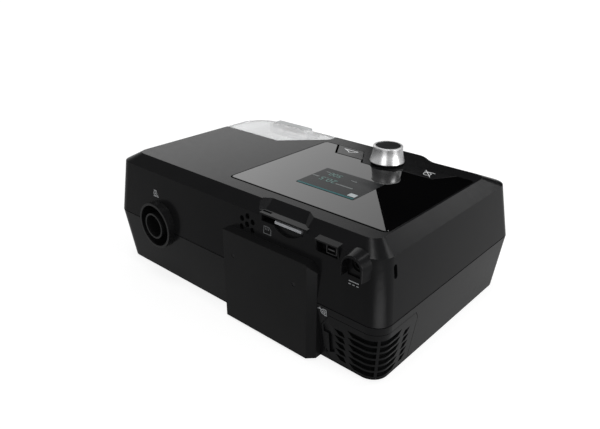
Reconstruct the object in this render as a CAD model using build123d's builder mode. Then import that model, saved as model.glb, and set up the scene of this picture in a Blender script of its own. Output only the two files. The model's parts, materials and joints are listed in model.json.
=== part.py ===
from build123d import *
import os
from math import cos, radians, sin

os.makedirs("parts", exist_ok=True)

# A bedside breathing machine with a heated water chamber.
# Millimetres.  +Z is up, the controls are read from the front at -Y, the sockets face +Y.

# ---- driving sizes ------------------------------------------------------------------------

case_width = 282            # across the seam, the widest level
case_depth = 188
case_height = 97            # underside to top face
foot_height = 2
seam_rise = 45              # seam above the underside
shoulder_rise = 90          # lower edge of the sloping top rim
wall = 2.5
roof = 4
chamber_corner = 26         # corner radius where the water chamber sits
part_gap = 0.4              # visible gap between neighbouring covers
running = 0.05              # radial clearance of a shaft or pin in its hole
press = 0.02                # radial clearance of a pressed fit
hole_slack = 0.2            # radial clearance of a screw in a plain hole
lay_gap = 0.2               # between stacked pieces that don't touch
fit_gap = 0.3               # round a piece in its opening

outlet_reach = 6            # hose spigot behind the seam
spigot_radius = 11          # 22 mm hose fitting
spigot_bore = 9.5
collar_radius = 19.5
spigot_depth = 18           # length of spigot that a hose cuff slides over
outlet_x = 80
outlet_rise = 48

controls_side = 91.3        # from the left side to the line that screen, dial and keys lie on
lens_width = 145.3
lens_depth = 118.7
lens_thickness = 1.6
lens_corner = 4.5
screen_width = 54
screen_depth = 38.6
screen_drop = 46.2          # screen's middle behind the lens's rear edge
dial_setback = 10.3         # dial's axis behind the lens's front edge
dial_radius = 14.3
dial_height = 15
key_travel = 0.8
dial_travel = 0.5

chamber_lift = 9.3          # underside of the chamber above the case underside
chamber_wall = 2.5
chamber_split_rise = 36     # joint between tub and lid
latch_travel = 2

impeller_radius = 30
blade_count = 11
volute_radius = 42
duct_wall = 2
duct_radius = spigot_bore + duct_wall

card_width = 24
card_length = 32
card_thickness = 2.1

# ---- levels and stations that follow from them ----------------------------------------------

rear_y = (case_depth - outlet_reach) / 2
front_y = rear_y - case_depth
base_z = foot_height
seam_z = base_z + seam_rise
shoulder_z = base_z + shoulder_rise
top_z = base_z + case_height
floor_z = base_z + wall
ceiling_z = top_z - roof
half_width = case_width / 2
controls_x = controls_side - half_width

# level height, then how far the side, rear and front edges lie inside the seam, and the corner
underside = (base_z, 4, 5.5, 6, 12)
seam = (seam_z, 0, 0, 0, 12.5)
shoulder = (shoulder_z, 5.5, 4.5, 9, 12.5)
top_face = (top_z, 17, 15.5, 26, 8.5)
lower_levels = [underside, seam]
upper_levels = [seam, shoulder, top_face]
shelled_lower = [(floor_z, *underside[1:]), seam]
shelled_upper = [seam, (shoulder_z - wall, *shoulder[1:]), (ceiling_z, *top_face[1:])]
rear_lean = shoulder[2] / (shoulder_z - seam_z)
rim_rear_y = rear_y - top_face[2]
rim_front_y = front_y + top_face[3]
shoulder_front_y = front_y + shoulder[3]


def wall_y(z):
    """Outer face of the upper rear wall at height z."""
    return rear_y - (z - seam_z) * rear_lean


def back_plane(y):
    """Plane across the machine at y: sketches use X and Z, and extrusions go to the front."""
    return Plane.XZ.offset(-y)


def case_block(levels, inset=0):
    """Solid of the case outline through the given levels, drawn in by inset all round."""
    with BuildPart() as block:
        for z, side_draw, rear_draw, front_draw, radius in levels:
            half = half_width - side_draw - inset
            rear = rear_y - rear_draw - inset
            front = front_y + front_draw + inset
            with BuildSketch(Plane.XY.offset(z)) as outline:
                with Locations((0, (rear + front) / 2)):
                    Rectangle(2 * half, rear - front)
                corners = outline.vertices().sort_by(lambda v: v.Y - v.X)
                fillet(corners[1:], radius=radius - inset)
                chamber_side = outline.vertices().sort_by(lambda v: v.Y - v.X)[0]
                fillet(chamber_side, radius=chamber_corner - inset)
        loft(ruled=True)
    return block.part


# ---- the water chamber's bay ------------------------------------------------------------------

bay_left = 23
bay_slant_x = 57.5          # where the slanted edge of the top meets the edge across
bay_edge_y = front_y + 70.5
bay_slant_y = bay_edge_y - 35
bay_outline = [
    (half_width + 20, bay_edge_y),
    (bay_slant_x, bay_edge_y),
    (bay_left, bay_slant_y),
    (bay_left, front_y - 20),
    (half_width + 20, front_y - 20),
]
chamber_z = base_z + chamber_lift
chamber_split_z = base_z + chamber_split_rise
chamber_rear_y = front_y + 102
chamber_left = bay_left + 2
chamber_right = half_width - 10
tunnel_top_z = shoulder_z - wall - 1
heater_x = 79
heater_y = front_y + 51
port_z = base_z + outlet_rise
inlet_x = 45


def bay_prism(gap, bottom, top):
    """Upright prism over the open corner of the case, drawn in by gap."""
    with BuildPart() as prism:
        with BuildSketch(Plane.XY.offset(bottom)):
            with BuildLine():
                Polyline(*bay_outline, close=True)
            make_face()
            if gap:
                offset(amount=-gap, kind=Kind.INTERSECTION)
        extrude(amount=top - bottom)
    return prism.part


def chamber_block(inset):
    """The water chamber's outer form, or its hollow when drawn in."""
    rim = (shoulder_z - inset, *shoulder[1:])
    roof_face = (top_z - inset, *top_face[1:])
    outline = case_block([underside, seam, rim, roof_face], inset)
    bottom = chamber_z + inset
    corner = bay_prism(part_gap + inset, bottom, top_z - inset)
    width = chamber_right - chamber_left - 2 * inset
    depth = chamber_rear_y - front_y - 2 * inset
    with BuildPart() as block:
        add(corner)
        with BuildSketch(Plane.XY.offset(bottom)):
            with Locations(((chamber_left + chamber_right) / 2, (chamber_rear_y + front_y) / 2)):
                Rectangle(width, depth)
        extrude(amount=tunnel_top_z - inset - bottom)
        add(outline, mode=Mode.INTERSECT)
    return block.part


# ---- the filter cover's place ----------------------------------------------------------------

filter_right = -half_width + 48.2
filter_front = rear_y - 45.6
filter_low_z = base_z + 1.4
filter_high_z = base_z + 39
filter_cover_wall = 1.5
filter_seat = filter_cover_wall + fit_gap   # depth of the seat that the cover lies in
filter_lip = 1.6
window_right = -half_width + 38.2
clear = 10                  # how far a cutting block reaches past what it cuts
high_cut = (7.2, 10.2)      # width and height cut off the cover's upper rear corner
low_cut = (7.5, 7)
window_cut = (1, 1)


def filter_region(grow, right=filter_right, upper=high_cut, lower=low_cut):
    """Block round the lower rear corner of the case, its end corners cut off, grown by grow."""
    rear_outline = [
        (right, filter_low_z + lower[1]),
        (right, filter_high_z - upper[1]),
        (right - upper[0], filter_high_z),
        (-half_width - clear, filter_high_z),
        (-half_width - clear, filter_low_z),
        (right - lower[0], filter_low_z),
    ]
    side_outline = [
        (rear_y + clear, filter_low_z),
        (rear_y + clear, filter_high_z),
        (filter_front + 3.4, filter_high_z),
        (filter_front, filter_high_z - 5),
        (filter_front + 4, filter_low_z),
    ]
    with BuildPart() as region:
        with BuildSketch(back_plane(rear_y + clear)):
            with BuildLine():
                Polyline(*rear_outline, close=True)
            make_face()
            if grow:
                offset(amount=grow, kind=Kind.INTERSECTION)
        extrude(amount=case_depth / 2)
        with BuildSketch(Plane.YZ.offset(-half_width - clear)):
            with BuildLine():
                Polyline(*side_outline, close=True)
            make_face()
            if grow:
                offset(amount=grow, kind=Kind.INTERSECTION)
        extrude(amount=case_width / 2, mode=Mode.INTERSECT)
    return region.part


lower_outside = case_block(lower_levels)
upper_outside = case_block(upper_levels)
lower_inside = case_block(shelled_lower, wall)
upper_inside = case_block(shelled_upper, wall)

# ---- fixings shared by both shells -------------------------------------------------------------

post_radius = 5
post_places = [
    (-half_width + 15, front_y + 18),
    (12, front_y + 18),
    (14, rear_y - 13),
    (half_width - 13, rear_y - 14),
    (-half_width + 15, rear_y - 61),
]
case_screw_radius = 1.5
case_screw_head = 3
case_screw_seat_z = seam_z - 14
case_screw_bite = 10
foot_radius = 8
foot_sink = 1
foot_places = [
    (-half_width + 33, front_y + 22),
    (half_width - 33, front_y + 22),
    (-half_width + 56, rear_y - 23),
    (half_width - 33, rear_y - 23),
]
bay_wall = 2
bay_wall_y = chamber_rear_y + 1.5
seal_radius = duct_radius + 3.5

blower_x = -58
blower_y = front_y + 95
blower_split_z = port_z
volute_low_z = port_z - 14
volute_high_z = port_z + 14
ear_radius = 47
ear_turn = 15               # clear of the outlet stub
ear_places = [
    (blower_x + ear_radius * cos(radians(a)), blower_y + ear_radius * sin(radians(a)))
    for a in (ear_turn, ear_turn + 90, ear_turn + 180, ear_turn + 270)
]
mount_height = 6
mount_pin = 2
duct_y = blower_y + volute_radius - duct_radius


def bay_walls(bottom, top):
    """The two upright walls that part the water chamber from the works."""
    with BuildPart() as walls:
        with BuildSketch(Plane.XY.offset(bottom)):
            with Locations((bay_left, front_y)):
                Rectangle(bay_wall, bay_wall_y - front_y, align=(Align.MAX, Align.MIN))
            with Locations((bay_left - bay_wall, bay_wall_y)):
                Rectangle(half_width, bay_wall, align=(Align.MIN, Align.MIN))
        extrude(amount=top - bottom)
        for x in (inlet_x, outlet_x):
            with BuildSketch(back_plane(bay_wall_y + bay_wall)):
                with Locations((x, port_z)):
                    Circle(seal_radius + part_gap)
            extrude(amount=bay_wall, mode=Mode.SUBTRACT)
    return walls.part


lower_walls = bay_walls(base_z, seam_z)
upper_walls = bay_walls(seam_z, top_z)

with BuildPart() as lower_ribs:
    add(lower_walls)
    with BuildSketch(Plane.XY.offset(base_z)):
        with Locations(*post_places):
            Circle(post_radius)
    extrude(amount=seam_z - base_z)
    add(lower_outside, mode=Mode.INTERSECT)

with BuildPart() as upper_ribs:
    add(upper_walls)
    with BuildSketch(Plane.XY.offset(seam_z)):
        with Locations(*post_places):
            Circle(post_radius)
    extrude(amount=top_z - seam_z)
    add(upper_outside, mode=Mode.INTERSECT)

# ---- bottom case ----------------------------------------------------------------------------

filter_outer = filter_region(part_gap)
filter_window = filter_region(-filter_lip, window_right + filter_lip, window_cut, window_cut)
filter_surround = filter_region(2)
seat_block = case_block(lower_levels, filter_seat)
frame_block = case_block(lower_levels, filter_seat + 2.2)
with BuildPart() as filter_seat_cut:
    add(lower_outside)
    add(seat_block, mode=Mode.SUBTRACT)
    add(filter_outer, mode=Mode.INTERSECT)
with BuildPart() as filter_frame:
    add(seat_block)
    add(frame_block, mode=Mode.SUBTRACT)
    add(filter_surround, mode=Mode.INTERSECT)

tray_z = chamber_z - fit_gap
tray_cut = bay_prism(0, tray_z, seam_z + 1)
rail_width = 3
rail_places = [chamber_left + 6, chamber_right - 6]
blower_post_z = volute_low_z - mount_height

with BuildPart() as bottom_case:
    add(lower_outside)
    add(lower_inside, mode=Mode.SUBTRACT)
    add(lower_ribs.part)
    add(filter_frame.part)
    # rails that the water chamber slides on
    for x in rail_places:
        with BuildSketch(Plane.XY.offset(floor_z)):
            with Locations((x, front_y + 10)):
                Rectangle(rail_width, chamber_rear_y - front_y - 10, align=(Align.CENTER, Align.MIN))
        extrude(amount=tray_z - floor_z)
    # posts with pins for the blower's rubber mounts
    with BuildSketch(Plane.XY.offset(floor_z)):
        with Locations(*ear_places):
            Circle(post_radius)
    extrude(amount=blower_post_z - floor_z)
    with BuildSketch(Plane.XY.offset(blower_post_z)):
        with Locations(*ear_places):
            Circle(mount_pin)
    extrude(amount=mount_height - 2)
    add(tray_cut, mode=Mode.SUBTRACT)
    # seat and window of the filter cover
    add(filter_seat_cut.part, mode=Mode.SUBTRACT)
    add(filter_window, mode=Mode.SUBTRACT)
    # hose collar, half in each shell
    with BuildSketch(back_plane(rear_y + 1)):
        with Locations((outlet_x, port_z)):
            Circle(collar_radius + running)
    extrude(amount=12, mode=Mode.SUBTRACT)
    # case screws come up from below
    with Locations(*[(x, y, base_z) for x, y in post_places]):
        Cylinder(
            case_screw_head + 2 * hole_slack,
            case_screw_seat_z - base_z,
            align=(Align.CENTER, Align.CENTER, Align.MIN),
            mode=Mode.SUBTRACT,
        )
        Cylinder(
            case_screw_radius + hole_slack,
            seam_z - base_z,
            align=(Align.CENTER, Align.CENTER, Align.MIN),
            mode=Mode.SUBTRACT,
        )
    # shallow seats for the feet
    with BuildSketch(Plane.XY.offset(base_z)):
        with Locations(*foot_places):
            Circle(foot_radius + hole_slack / 2)
    extrude(amount=foot_sink, mode=Mode.SUBTRACT)

bottom_case.part.label = "bottom_case"
export_step(bottom_case.part, "parts/bottom_case.step")

with BuildPart() as feet:
    with BuildSketch():
        with Locations(*foot_places):
            Circle(foot_radius)
    extrude(amount=foot_height + foot_sink)
    chamfer(feet.faces().sort_by(Axis.Z)[:4].edges(), length=0.8)

feet.part.label = "feet"
export_step(feet.part, "parts/feet.step")

with BuildPart() as case_screws:
    with Locations(*[(x, y, case_screw_seat_z) for x, y in post_places]):
        Cylinder(case_screw_head, 2.5, align=(Align.CENTER, Align.CENTER, Align.MAX))
        Cylinder(
            case_screw_radius,
            seam_z - case_screw_seat_z + case_screw_bite,
            align=(Align.CENTER, Align.CENTER, Align.MIN),
        )

case_screws.part.label = "case_screws"
export_step(case_screws.part, "parts/case_screws.step")

# ---- top case: controls -----------------------------------------------------------------------

lens_rear_y = rim_rear_y - 12.1
lens_front_y = lens_rear_y - lens_depth
lens_half = lens_width / 2
key_rear_y = lens_front_y + 18.5
key_corners = [(57.7, lens_front_y), (46, key_rear_y), (18.3, key_rear_y), (30.1, lens_front_y)]
key_middle = (38, (lens_front_y + key_rear_y) / 2)
plinth_half = 14.9
plinth_rear_y = key_rear_y + 5.3
lens_z = top_z - lens_thickness
dial_y = lens_front_y + dial_setback
screen_y = lens_rear_y - screen_drop
board_thickness = 1.6
board_z = ceiling_z - 8
encoder_bush_radius = 3.5
shaft_radius = 3


def lens_outline():
    """Corners of the gloss panel, with the notch for the keys and the dial's plinth."""
    left = controls_x - lens_half
    right = controls_x + lens_half
    plinth_corner = (plinth_half, plinth_rear_y)
    notch = [*key_corners[:3], plinth_corner]
    return [
        (right, lens_rear_y),
        (left, lens_rear_y),
        (left, lens_front_y),
        *[(controls_x - x, y) for x, y in notch],
        *[(controls_x + x, y) for x, y in reversed(notch)],
        (right, lens_front_y),
    ]


def key_outline(side):
    """Corners of one key: side is 1 for the ramp key and -1 for the mute key."""
    return [(controls_x + side * x, y) for x, y in key_corners]


def flat_plate(outline, z, thickness, grow=0):
    """Plate of a polygon outline standing on z, grown all round by grow."""
    with BuildPart() as plate:
        with BuildSketch(Plane.XY.offset(z)):
            with BuildLine():
                Polyline(*outline, close=True)
            make_face()
            if grow:
                offset(amount=grow, kind=Kind.INTERSECTION)
        extrude(amount=thickness)
    return plate.part


def lens_block(thickness, shrink):
    """Plate of the lens outline with its four outer corners rounded."""
    flat = flat_plate(lens_outline(), lens_z, thickness, -shrink)
    with BuildPart() as plate:
        add(flat)
        corners = plate.edges().filter_by(Axis.Z)
        outer = corners.sort_by(Axis.X)[:2] + corners.sort_by(Axis.X)[-2:]
        fillet(outer, radius=lens_corner - shrink)
    return plate.part


lens_recess = lens_block(roof, 0)
ramp_hole = flat_plate(key_outline(1), ceiling_z - 1, roof + 2)
mute_hole = flat_plate(key_outline(-1), ceiling_z - 1, roof + 2)
bay_cut = bay_prism(0, seam_z - 1, top_z + 1)

# ---- top case: back panel ---------------------------------------------------------------------

card_x = -half_width + 82.2
card_z = board_z + 2.1
pocket_left = card_x - card_width / 2 - 3
pocket_right = card_x + card_width / 2 + 11.1
pocket_floor_z = card_z - 0.5
pocket_back_y = rear_y - 11
pocket_back_wall = 2
hood_floor = 1.3
hood_side = 2.5
ledge_z = top_z - 4.8       # visor's ledge over the card slot
ledge_thickness = 1.2
ledge_front_y = rim_rear_y + 4.8
visor_front_y = rim_rear_y - 4.9
visor_left = pocket_left + 7.9
visor_right = pocket_right + 4.3
visor_left_normal = (0.35, 0.54, 0.77)
visor_right_normal = (-0.25, 0.38, 0.89)
pocket_top_z = ledge_z - ledge_thickness
hood_profile = [
    (pocket_back_y - pocket_back_wall, pocket_floor_z - hood_floor),
    (wall_y(pocket_floor_z - hood_floor), pocket_floor_z - hood_floor),
    (wall_y(ledge_z), ledge_z),
    (ledge_front_y, ledge_z),
    (visor_front_y, top_z),
    (visor_front_y - roof, top_z),
    (visor_front_y - roof, ceiling_z),
    (pocket_back_y - pocket_back_wall, ledge_z - 2),
]
groove_x = pocket_right - 1.8
groove_length = 8
groove_width = 2.2
groove_depth = 0.7
scoop_x = card_x - 0.8
scoop_radius = 18.7
scoop_depth = 4.7
scoop_sink = 1.8            # how far the finger scoop goes into the wall

with BuildPart() as visor_recess:
    with BuildSketch(Plane.YZ.offset(pocket_left - clear)):
        with BuildLine():
            Polyline(
                (visor_front_y, top_z + 1),
                (visor_front_y, top_z),
                (ledge_front_y, ledge_z),
                (rear_y, ledge_z),
                (rear_y, top_z + 1),
                close=True,
            )
        make_face()
    extrude(amount=pocket_right - pocket_left + 2 * clear)
    split(
        bisect_by=Plane(origin=(visor_left, visor_front_y, top_z), z_dir=visor_left_normal),
        keep=Keep.TOP,
    )
    split(
        bisect_by=Plane(origin=(visor_right, visor_front_y, top_z), z_dir=visor_right_normal),
        keep=Keep.TOP,
    )

usb_left = -half_width + 37.9
usb_right = -half_width + 54.2
usb_wall = 1.2
usb_low_z = board_z - 3.6
usb_high_z = board_z + 4.7
usb_back_y = rear_y - 9
usb_mouth_y = rear_y - 1.6
usb_band_z = top_z - 5.4
usb_profile = [
    (usb_back_y - 1.5, usb_low_z - usb_wall),
    (wall_y(usb_low_z - usb_wall) - 0.5, usb_low_z - usb_wall),
    (wall_y(usb_low_z) - 0.05, usb_low_z),
    (usb_mouth_y, usb_high_z + usb_wall),
    (rim_rear_y + 8.4, usb_band_z),
    (usb_back_y - 1.5, usb_band_z),
]
usb_port_x = -half_width + 43.6
port_width = 8
port_height = 3.4
port_front_y = rear_y - 4.5
port_low_z = board_z - 2.6
port_total = board_z + port_height - port_low_z

jack_x = -half_width + 22.3
jack_z = base_z + 83.5
jack_hood_radius = 8.3
jack_hood_foot = 10.1       # the arch widens from its rim to its foot in the wall
jack_hood_wall = 1.3
jack_hood_drop = 7.2
jack_hood_reach = 7.5
jack_seat_y = rear_y - 4.5  # flat face inside the arch, sunk in the leaning wall
jack_seat_drop = 8.9
jack_rim_y = jack_seat_y + jack_hood_reach + 0.5
jack_foot_y = jack_seat_y - 2
jack_radius = 5.2
jack_bore = 3.9
jack_pin = 1
jack_front_y = jack_seat_y - 1.5

with BuildPart() as jack_hood:
    for y, radius in ((jack_foot_y, jack_hood_foot), (jack_rim_y, jack_hood_radius)):
        with BuildSketch(back_plane(y)):
            with Locations((jack_x, jack_z)):
                Circle(radius)
                Rectangle(2 * radius, jack_hood_drop + clear, align=(Align.CENTER, Align.MAX))
    loft(ruled=True)
    fillet(jack_hood.faces().sort_by(Axis.Y)[-1].edges(), radius=1)
    split(bisect_by=Plane.XY.offset(jack_z - jack_hood_drop), keep=Keep.TOP)

speaker_x = -half_width + 119
speaker_z = base_z + 79.4
speaker_radius = 8.6
speaker_hole = 2.1
speaker_ring = 6.2
speaker_plane = Plane(
    origin=(speaker_x, wall_y(speaker_z), speaker_z), x_dir=(1, 0, 0), z_dir=(0, 1, rear_lean)
)

lock_y = rear_y - 18
lock_z = base_z + 79.5
lock_height = 9.6
lock_width = 3.6

module_width = 85
module_left = filter_right + 2.8
module_right = module_left + module_width
module_high_z = base_z + 73.5
module_rear_y = rear_y + 5
module_wall = 2
module_screw_x = [module_left + 16.3, module_right - 10.2]
module_screw_z = base_z + 55
module_screw_radius = 0.9
module_screw_bite = 6

display_board_right = controls_x + 59.7
display_board_left = controls_x - 60.3
display_board_front = lens_front_y - 2
display_board_rear = rim_rear_y - 31.5
main_board_left = -half_width + 33
main_board_right = card_x + card_width / 2 + 10.8
main_board_front = display_board_rear + 3
main_board_rear = usb_back_y - 2
display_bosses = [
    (controls_x + x, y) for x in (-54, 54) for y in (key_rear_y + 17, display_board_rear - 6)
]
main_bosses = [
    (main_board_left + 4, main_board_front + 4),
    (main_board_right - 4, main_board_front + 4),
    (main_board_left + 4, main_board_front + 20),
    (card_x - card_width / 2 - 9.5, main_board_rear - 3),
]
boss_radius = 3
board_screw_radius = 1.1
board_screw_head = 2.3
board_screw_head_height = 1.6
board_screw_bite = 5.5

nose_half = 9.5
nose_foot = 30.5
nose_reach = 8.7
nose_ease = 9


def nose_sketch(z, reach):
    """Outline of the nose in front of the dial: flat across, with an S-curve at each side."""
    with BuildSketch(Plane.XY.offset(z)) as outline:
        with BuildLine():
            Line((controls_x - nose_half, rim_front_y - reach),
                 (controls_x + nose_half, rim_front_y - reach))
            for side in (-1, 1):
                Bezier(
                    (controls_x + side * nose_half, rim_front_y - reach),
                    (controls_x + side * (nose_half + nose_ease), rim_front_y - reach),
                    (controls_x + side * (nose_foot - nose_ease), rim_front_y),
                    (controls_x + side * nose_foot, rim_front_y),
                )
                Line((controls_x + side * nose_foot, rim_front_y),
                     (controls_x + side * nose_foot, rim_front_y + 1))
            Line((controls_x - nose_foot, rim_front_y + 1),
                 (controls_x + nose_foot, rim_front_y + 1))
        make_face()
    return outline.sketch


nose_low = nose_sketch(shoulder_z, rim_front_y - shoulder_front_y - 0.1)
nose_high = nose_sketch(top_z, nose_reach)
with BuildPart() as nose:
    add(nose_low)
    add(nose_high)
    loft(ruled=True)

# groove round the lower edge of the top case, which shows as a dark seam
seam_groove_height = 0.7
seam_groove_depth = 0.6
seam_core = case_block(upper_levels, seam_groove_depth)
with BuildPart() as seam_groove:
    add(upper_outside)
    add(seam_core, mode=Mode.SUBTRACT)
    split(bisect_by=Plane.XY.offset(seam_z + seam_groove_height), keep=Keep.BOTTOM)

with BuildPart() as top_case:
    add(upper_outside)
    add(upper_inside, mode=Mode.SUBTRACT)
    add(upper_ribs.part)
    add(nose.part)
    add(bay_cut, mode=Mode.SUBTRACT)
    add(seam_groove.part, mode=Mode.SUBTRACT)

    # visor, pocket and finger scoop of the card slot
    with BuildSketch(Plane.YZ.offset(pocket_left - hood_side)):
        with BuildLine():
            Polyline(*hood_profile, close=True)
        make_face()
    extrude(amount=pocket_right - pocket_left + 2 * hood_side)
    add(visor_recess.part, mode=Mode.SUBTRACT)
    with BuildSketch(Plane.XY.offset(ledge_z - groove_depth)):
        with Locations((groove_x, ledge_front_y + groove_width)):
            Rectangle(groove_length, groove_width)
    extrude(amount=roof, mode=Mode.SUBTRACT)
    with BuildSketch(back_plane(rear_y)):
        with Locations((pocket_left, pocket_floor_z)):
            Rectangle(pocket_right - pocket_left, pocket_top_z - pocket_floor_z, align=Align.MIN)
    extrude(amount=rear_y - pocket_back_y, mode=Mode.SUBTRACT)
    with BuildSketch(back_plane(rear_y)):
        with Locations((card_x, card_z + card_thickness / 2)):
            Rectangle(card_width + 2 * part_gap, card_thickness + 2 * fit_gap)
    extrude(amount=rear_y - pocket_back_y + pocket_back_wall + 1, mode=Mode.SUBTRACT)
    with BuildSketch(back_plane(rear_y)):
        with Locations((scoop_x, pocket_floor_z - scoop_depth + scoop_radius)):
            Circle(scoop_radius)
        with Locations((scoop_x, pocket_floor_z)):
            Rectangle(3 * scoop_radius, 3 * scoop_radius, align=(Align.CENTER, Align.MIN),
                      mode=Mode.SUBTRACT)
    extrude(amount=rear_y - wall_y(pocket_floor_z) + scoop_sink, mode=Mode.SUBTRACT)

    # hood of the data port: open below, its mouth slants back to the wall
    with BuildSketch(Plane.YZ.offset(usb_left - usb_wall)):
        with BuildLine():
            Polyline(*usb_profile, close=True)
        make_face()
    extrude(amount=usb_right - usb_left + 2 * usb_wall)
    with BuildSketch(back_plane(rear_y)):
        with Locations((usb_left, usb_low_z)):
            Rectangle(usb_right - usb_left, usb_high_z - usb_low_z, align=Align.MIN)
    extrude(amount=rear_y - usb_back_y, mode=Mode.SUBTRACT)
    with BuildSketch(back_plane(usb_back_y)):
        with Locations((usb_port_x, port_low_z - lay_gap)):
            Rectangle(port_width + 2 * lay_gap, port_total + 2 * lay_gap,
                      align=(Align.CENTER, Align.MIN))
    extrude(amount=3, mode=Mode.SUBTRACT)

    # arched hood of the power socket
    add(jack_hood.part)
    with BuildSketch(back_plane(jack_rim_y)):
        with Locations((jack_x, jack_z)):
            Circle(jack_hood_radius - jack_hood_wall)
            Rectangle(2 * (jack_hood_radius - jack_hood_wall), jack_seat_drop,
                      align=(Align.CENTER, Align.MAX))
    extrude(amount=jack_rim_y - jack_seat_y, mode=Mode.SUBTRACT)
    with BuildSketch(back_plane(rear_y)):
        with Locations((jack_x, jack_z)):
            Circle(jack_radius + running)
    extrude(amount=12, mode=Mode.SUBTRACT)

    # speaker grille and its ring
    with BuildSketch(speaker_plane.offset(-wall)):
        Circle(speaker_radius + 1.6)
        Circle(speaker_radius + 0.1, mode=Mode.SUBTRACT)
    extrude(amount=-4)
    with BuildSketch(speaker_plane):
        Circle(speaker_hole)
        with PolarLocations(speaker_ring, 5, start_angle=150, angular_range=240, endpoint=True):
            Circle(speaker_hole)
    extrude(amount=-2 * wall, mode=Mode.SUBTRACT)

    # bosses for the module's screws, the hose collar and the lock slot
    with BuildSketch(back_plane(wall_y(module_screw_z) - wall + 0.5)):
        with Locations(*[(x, module_screw_z) for x in module_screw_x]):
            Circle(boss_radius)
    extrude(amount=module_screw_bite)
    with BuildSketch(back_plane(rear_y)):
        with Locations(*[(x, module_screw_z) for x in module_screw_x]):
            Circle(module_screw_radius + running)
    extrude(amount=2 * module_screw_bite + 2, mode=Mode.SUBTRACT)
    with BuildSketch(back_plane(rear_y + 1)):
        with Locations((outlet_x, port_z)):
            Circle(collar_radius + running)
    extrude(amount=12, mode=Mode.SUBTRACT)
    with BuildSketch(Plane.YZ.offset(-half_width - 1)):
        with Locations((lock_y, lock_z)):
            SlotOverall(lock_height, lock_width, rotation=90)
    extrude(amount=12, mode=Mode.SUBTRACT)

    # recess for the lens, the screen window, and the holes for keys and dial
    add(lens_recess, mode=Mode.SUBTRACT)
    add(ramp_hole, mode=Mode.SUBTRACT)
    add(mute_hole, mode=Mode.SUBTRACT)
    with BuildSketch(Plane.XY.offset(ceiling_z)):
        with Locations((controls_x, screen_y)):
            Rectangle(screen_width + 2, screen_depth + 2)
        with Locations((controls_x, dial_y)):
            Circle(encoder_bush_radius + fit_gap)
    extrude(amount=roof, mode=Mode.SUBTRACT)

    # bosses under the roof that carry the boards
    with BuildSketch(Plane.XY.offset(board_z)):
        with Locations(*display_bosses, *main_bosses):
            Circle(boss_radius)
    extrude(amount=ceiling_z - board_z)
    with BuildSketch(Plane.XY.offset(board_z)):
        with Locations(*display_bosses, *main_bosses):
            Circle(board_screw_radius + running)
    extrude(amount=6, mode=Mode.SUBTRACT)

    # case screws bite into the posts
    with BuildSketch(Plane.XY.offset(seam_z)):
        with Locations(*post_places):
            Circle(case_screw_radius + running)
    extrude(amount=case_screw_bite + 1, mode=Mode.SUBTRACT)

top_case.part.label = "top_case"
export_step(top_case.part, "parts/top_case.step")

# ---- lens, screen and boards ------------------------------------------------------------------

lens_plate = lens_block(lens_thickness, part_gap / 2)
with BuildPart() as display_lens:
    add(lens_plate)

display_lens.part.label = "display_lens"
export_step(display_lens.part, "parts/display_lens.step")

screen_block_z = ceiling_z - lay_gap
with BuildPart() as lcd_module:
    with BuildSketch(Plane.XY.offset(board_z)):
        with Locations((controls_x, screen_y)):
            Rectangle(screen_width + 10, screen_depth + 10)
    extrude(amount=screen_block_z - board_z)
    with BuildSketch(Plane.XY.offset(screen_block_z)):
        with Locations((controls_x, screen_y)):
            Rectangle(screen_width, screen_depth)
    extrude(amount=lens_z - lay_gap - screen_block_z)

lcd_module.part.label = "lcd_module"
export_step(lcd_module.part, "parts/lcd_module.step")


def board(left, right, front, rear, screw_places):
    """Circuit board under the roof with its screw holes."""
    with BuildPart() as plate:
        with BuildSketch(Plane.XY.offset(board_z)):
            with Locations((left, front)):
                Rectangle(right - left, rear - front, align=Align.MIN)
            with Locations(*screw_places):
                Circle(board_screw_radius + hole_slack, mode=Mode.SUBTRACT)
        extrude(amount=-board_thickness)
    return plate.part


display_board_plate = board(
    display_board_left, display_board_right, display_board_front, display_board_rear, display_bosses
)
main_board_plate = board(
    main_board_left, main_board_right, main_board_front, main_board_rear, main_bosses
)

with BuildPart() as display_board:
    add(display_board_plate)

display_board.part.label = "display_board"
export_step(display_board.part, "parts/display_board.step")

with BuildPart() as main_board:
    add(main_board_plate)

main_board.part.label = "main_board"
export_step(main_board.part, "parts/main_board.step")

ribbon_width = 12
ribbon_length = 20
with BuildPart() as board_ribbon:
    with BuildSketch(Plane.XY.offset(board_z)):
        with Locations((controls_x - 40, (display_board_rear + main_board_front) / 2)):
            Rectangle(ribbon_width, ribbon_length)
    extrude(amount=0.5)

board_ribbon.part.label = "board_ribbon"
export_step(board_ribbon.part, "parts/board_ribbon.step")

with BuildPart() as board_screws:
    with Locations(*[(x, y, board_z - board_thickness) for x, y in display_bosses + main_bosses]):
        Cylinder(board_screw_head, board_screw_head_height,
                 align=(Align.CENTER, Align.CENTER, Align.MAX))
        Cylinder(board_screw_radius, board_thickness + board_screw_bite,
                 align=(Align.CENTER, Align.CENTER, Align.MIN))

board_screws.part.label = "board_screws"
export_step(board_screws.part, "parts/board_screws.step")

# ---- keys and dial ----------------------------------------------------------------------------

key_flange_z = ceiling_z - 1.7
key_flange = 1.2
switch_top_z = key_flange_z - key_travel - lay_gap / 2
switch_width = 6
switch_height = 3.5
switch_stem = 1.6


def key(side):
    """One flat key: its top lies level with the lens, a flange holds it under the roof."""
    cap = flat_plate(key_outline(side), key_flange_z, top_z - key_flange_z, -part_gap / 2)
    flange = flat_plate(key_outline(side), key_flange_z, key_flange, key_flange)
    with BuildPart() as piece:
        add(cap)
        fillet(piece.faces().sort_by(Axis.Z)[-1].edges(), radius=0.4)
        add(flange)
    return piece.part


ramp_piece = key(1)
mute_piece = key(-1)
with BuildPart() as ramp_button:
    add(ramp_piece)

ramp_button.part.label = "ramp_button"
export_step(ramp_button.part, "parts/ramp_button.step")

with BuildPart() as mute_button:
    add(mute_piece)

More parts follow.
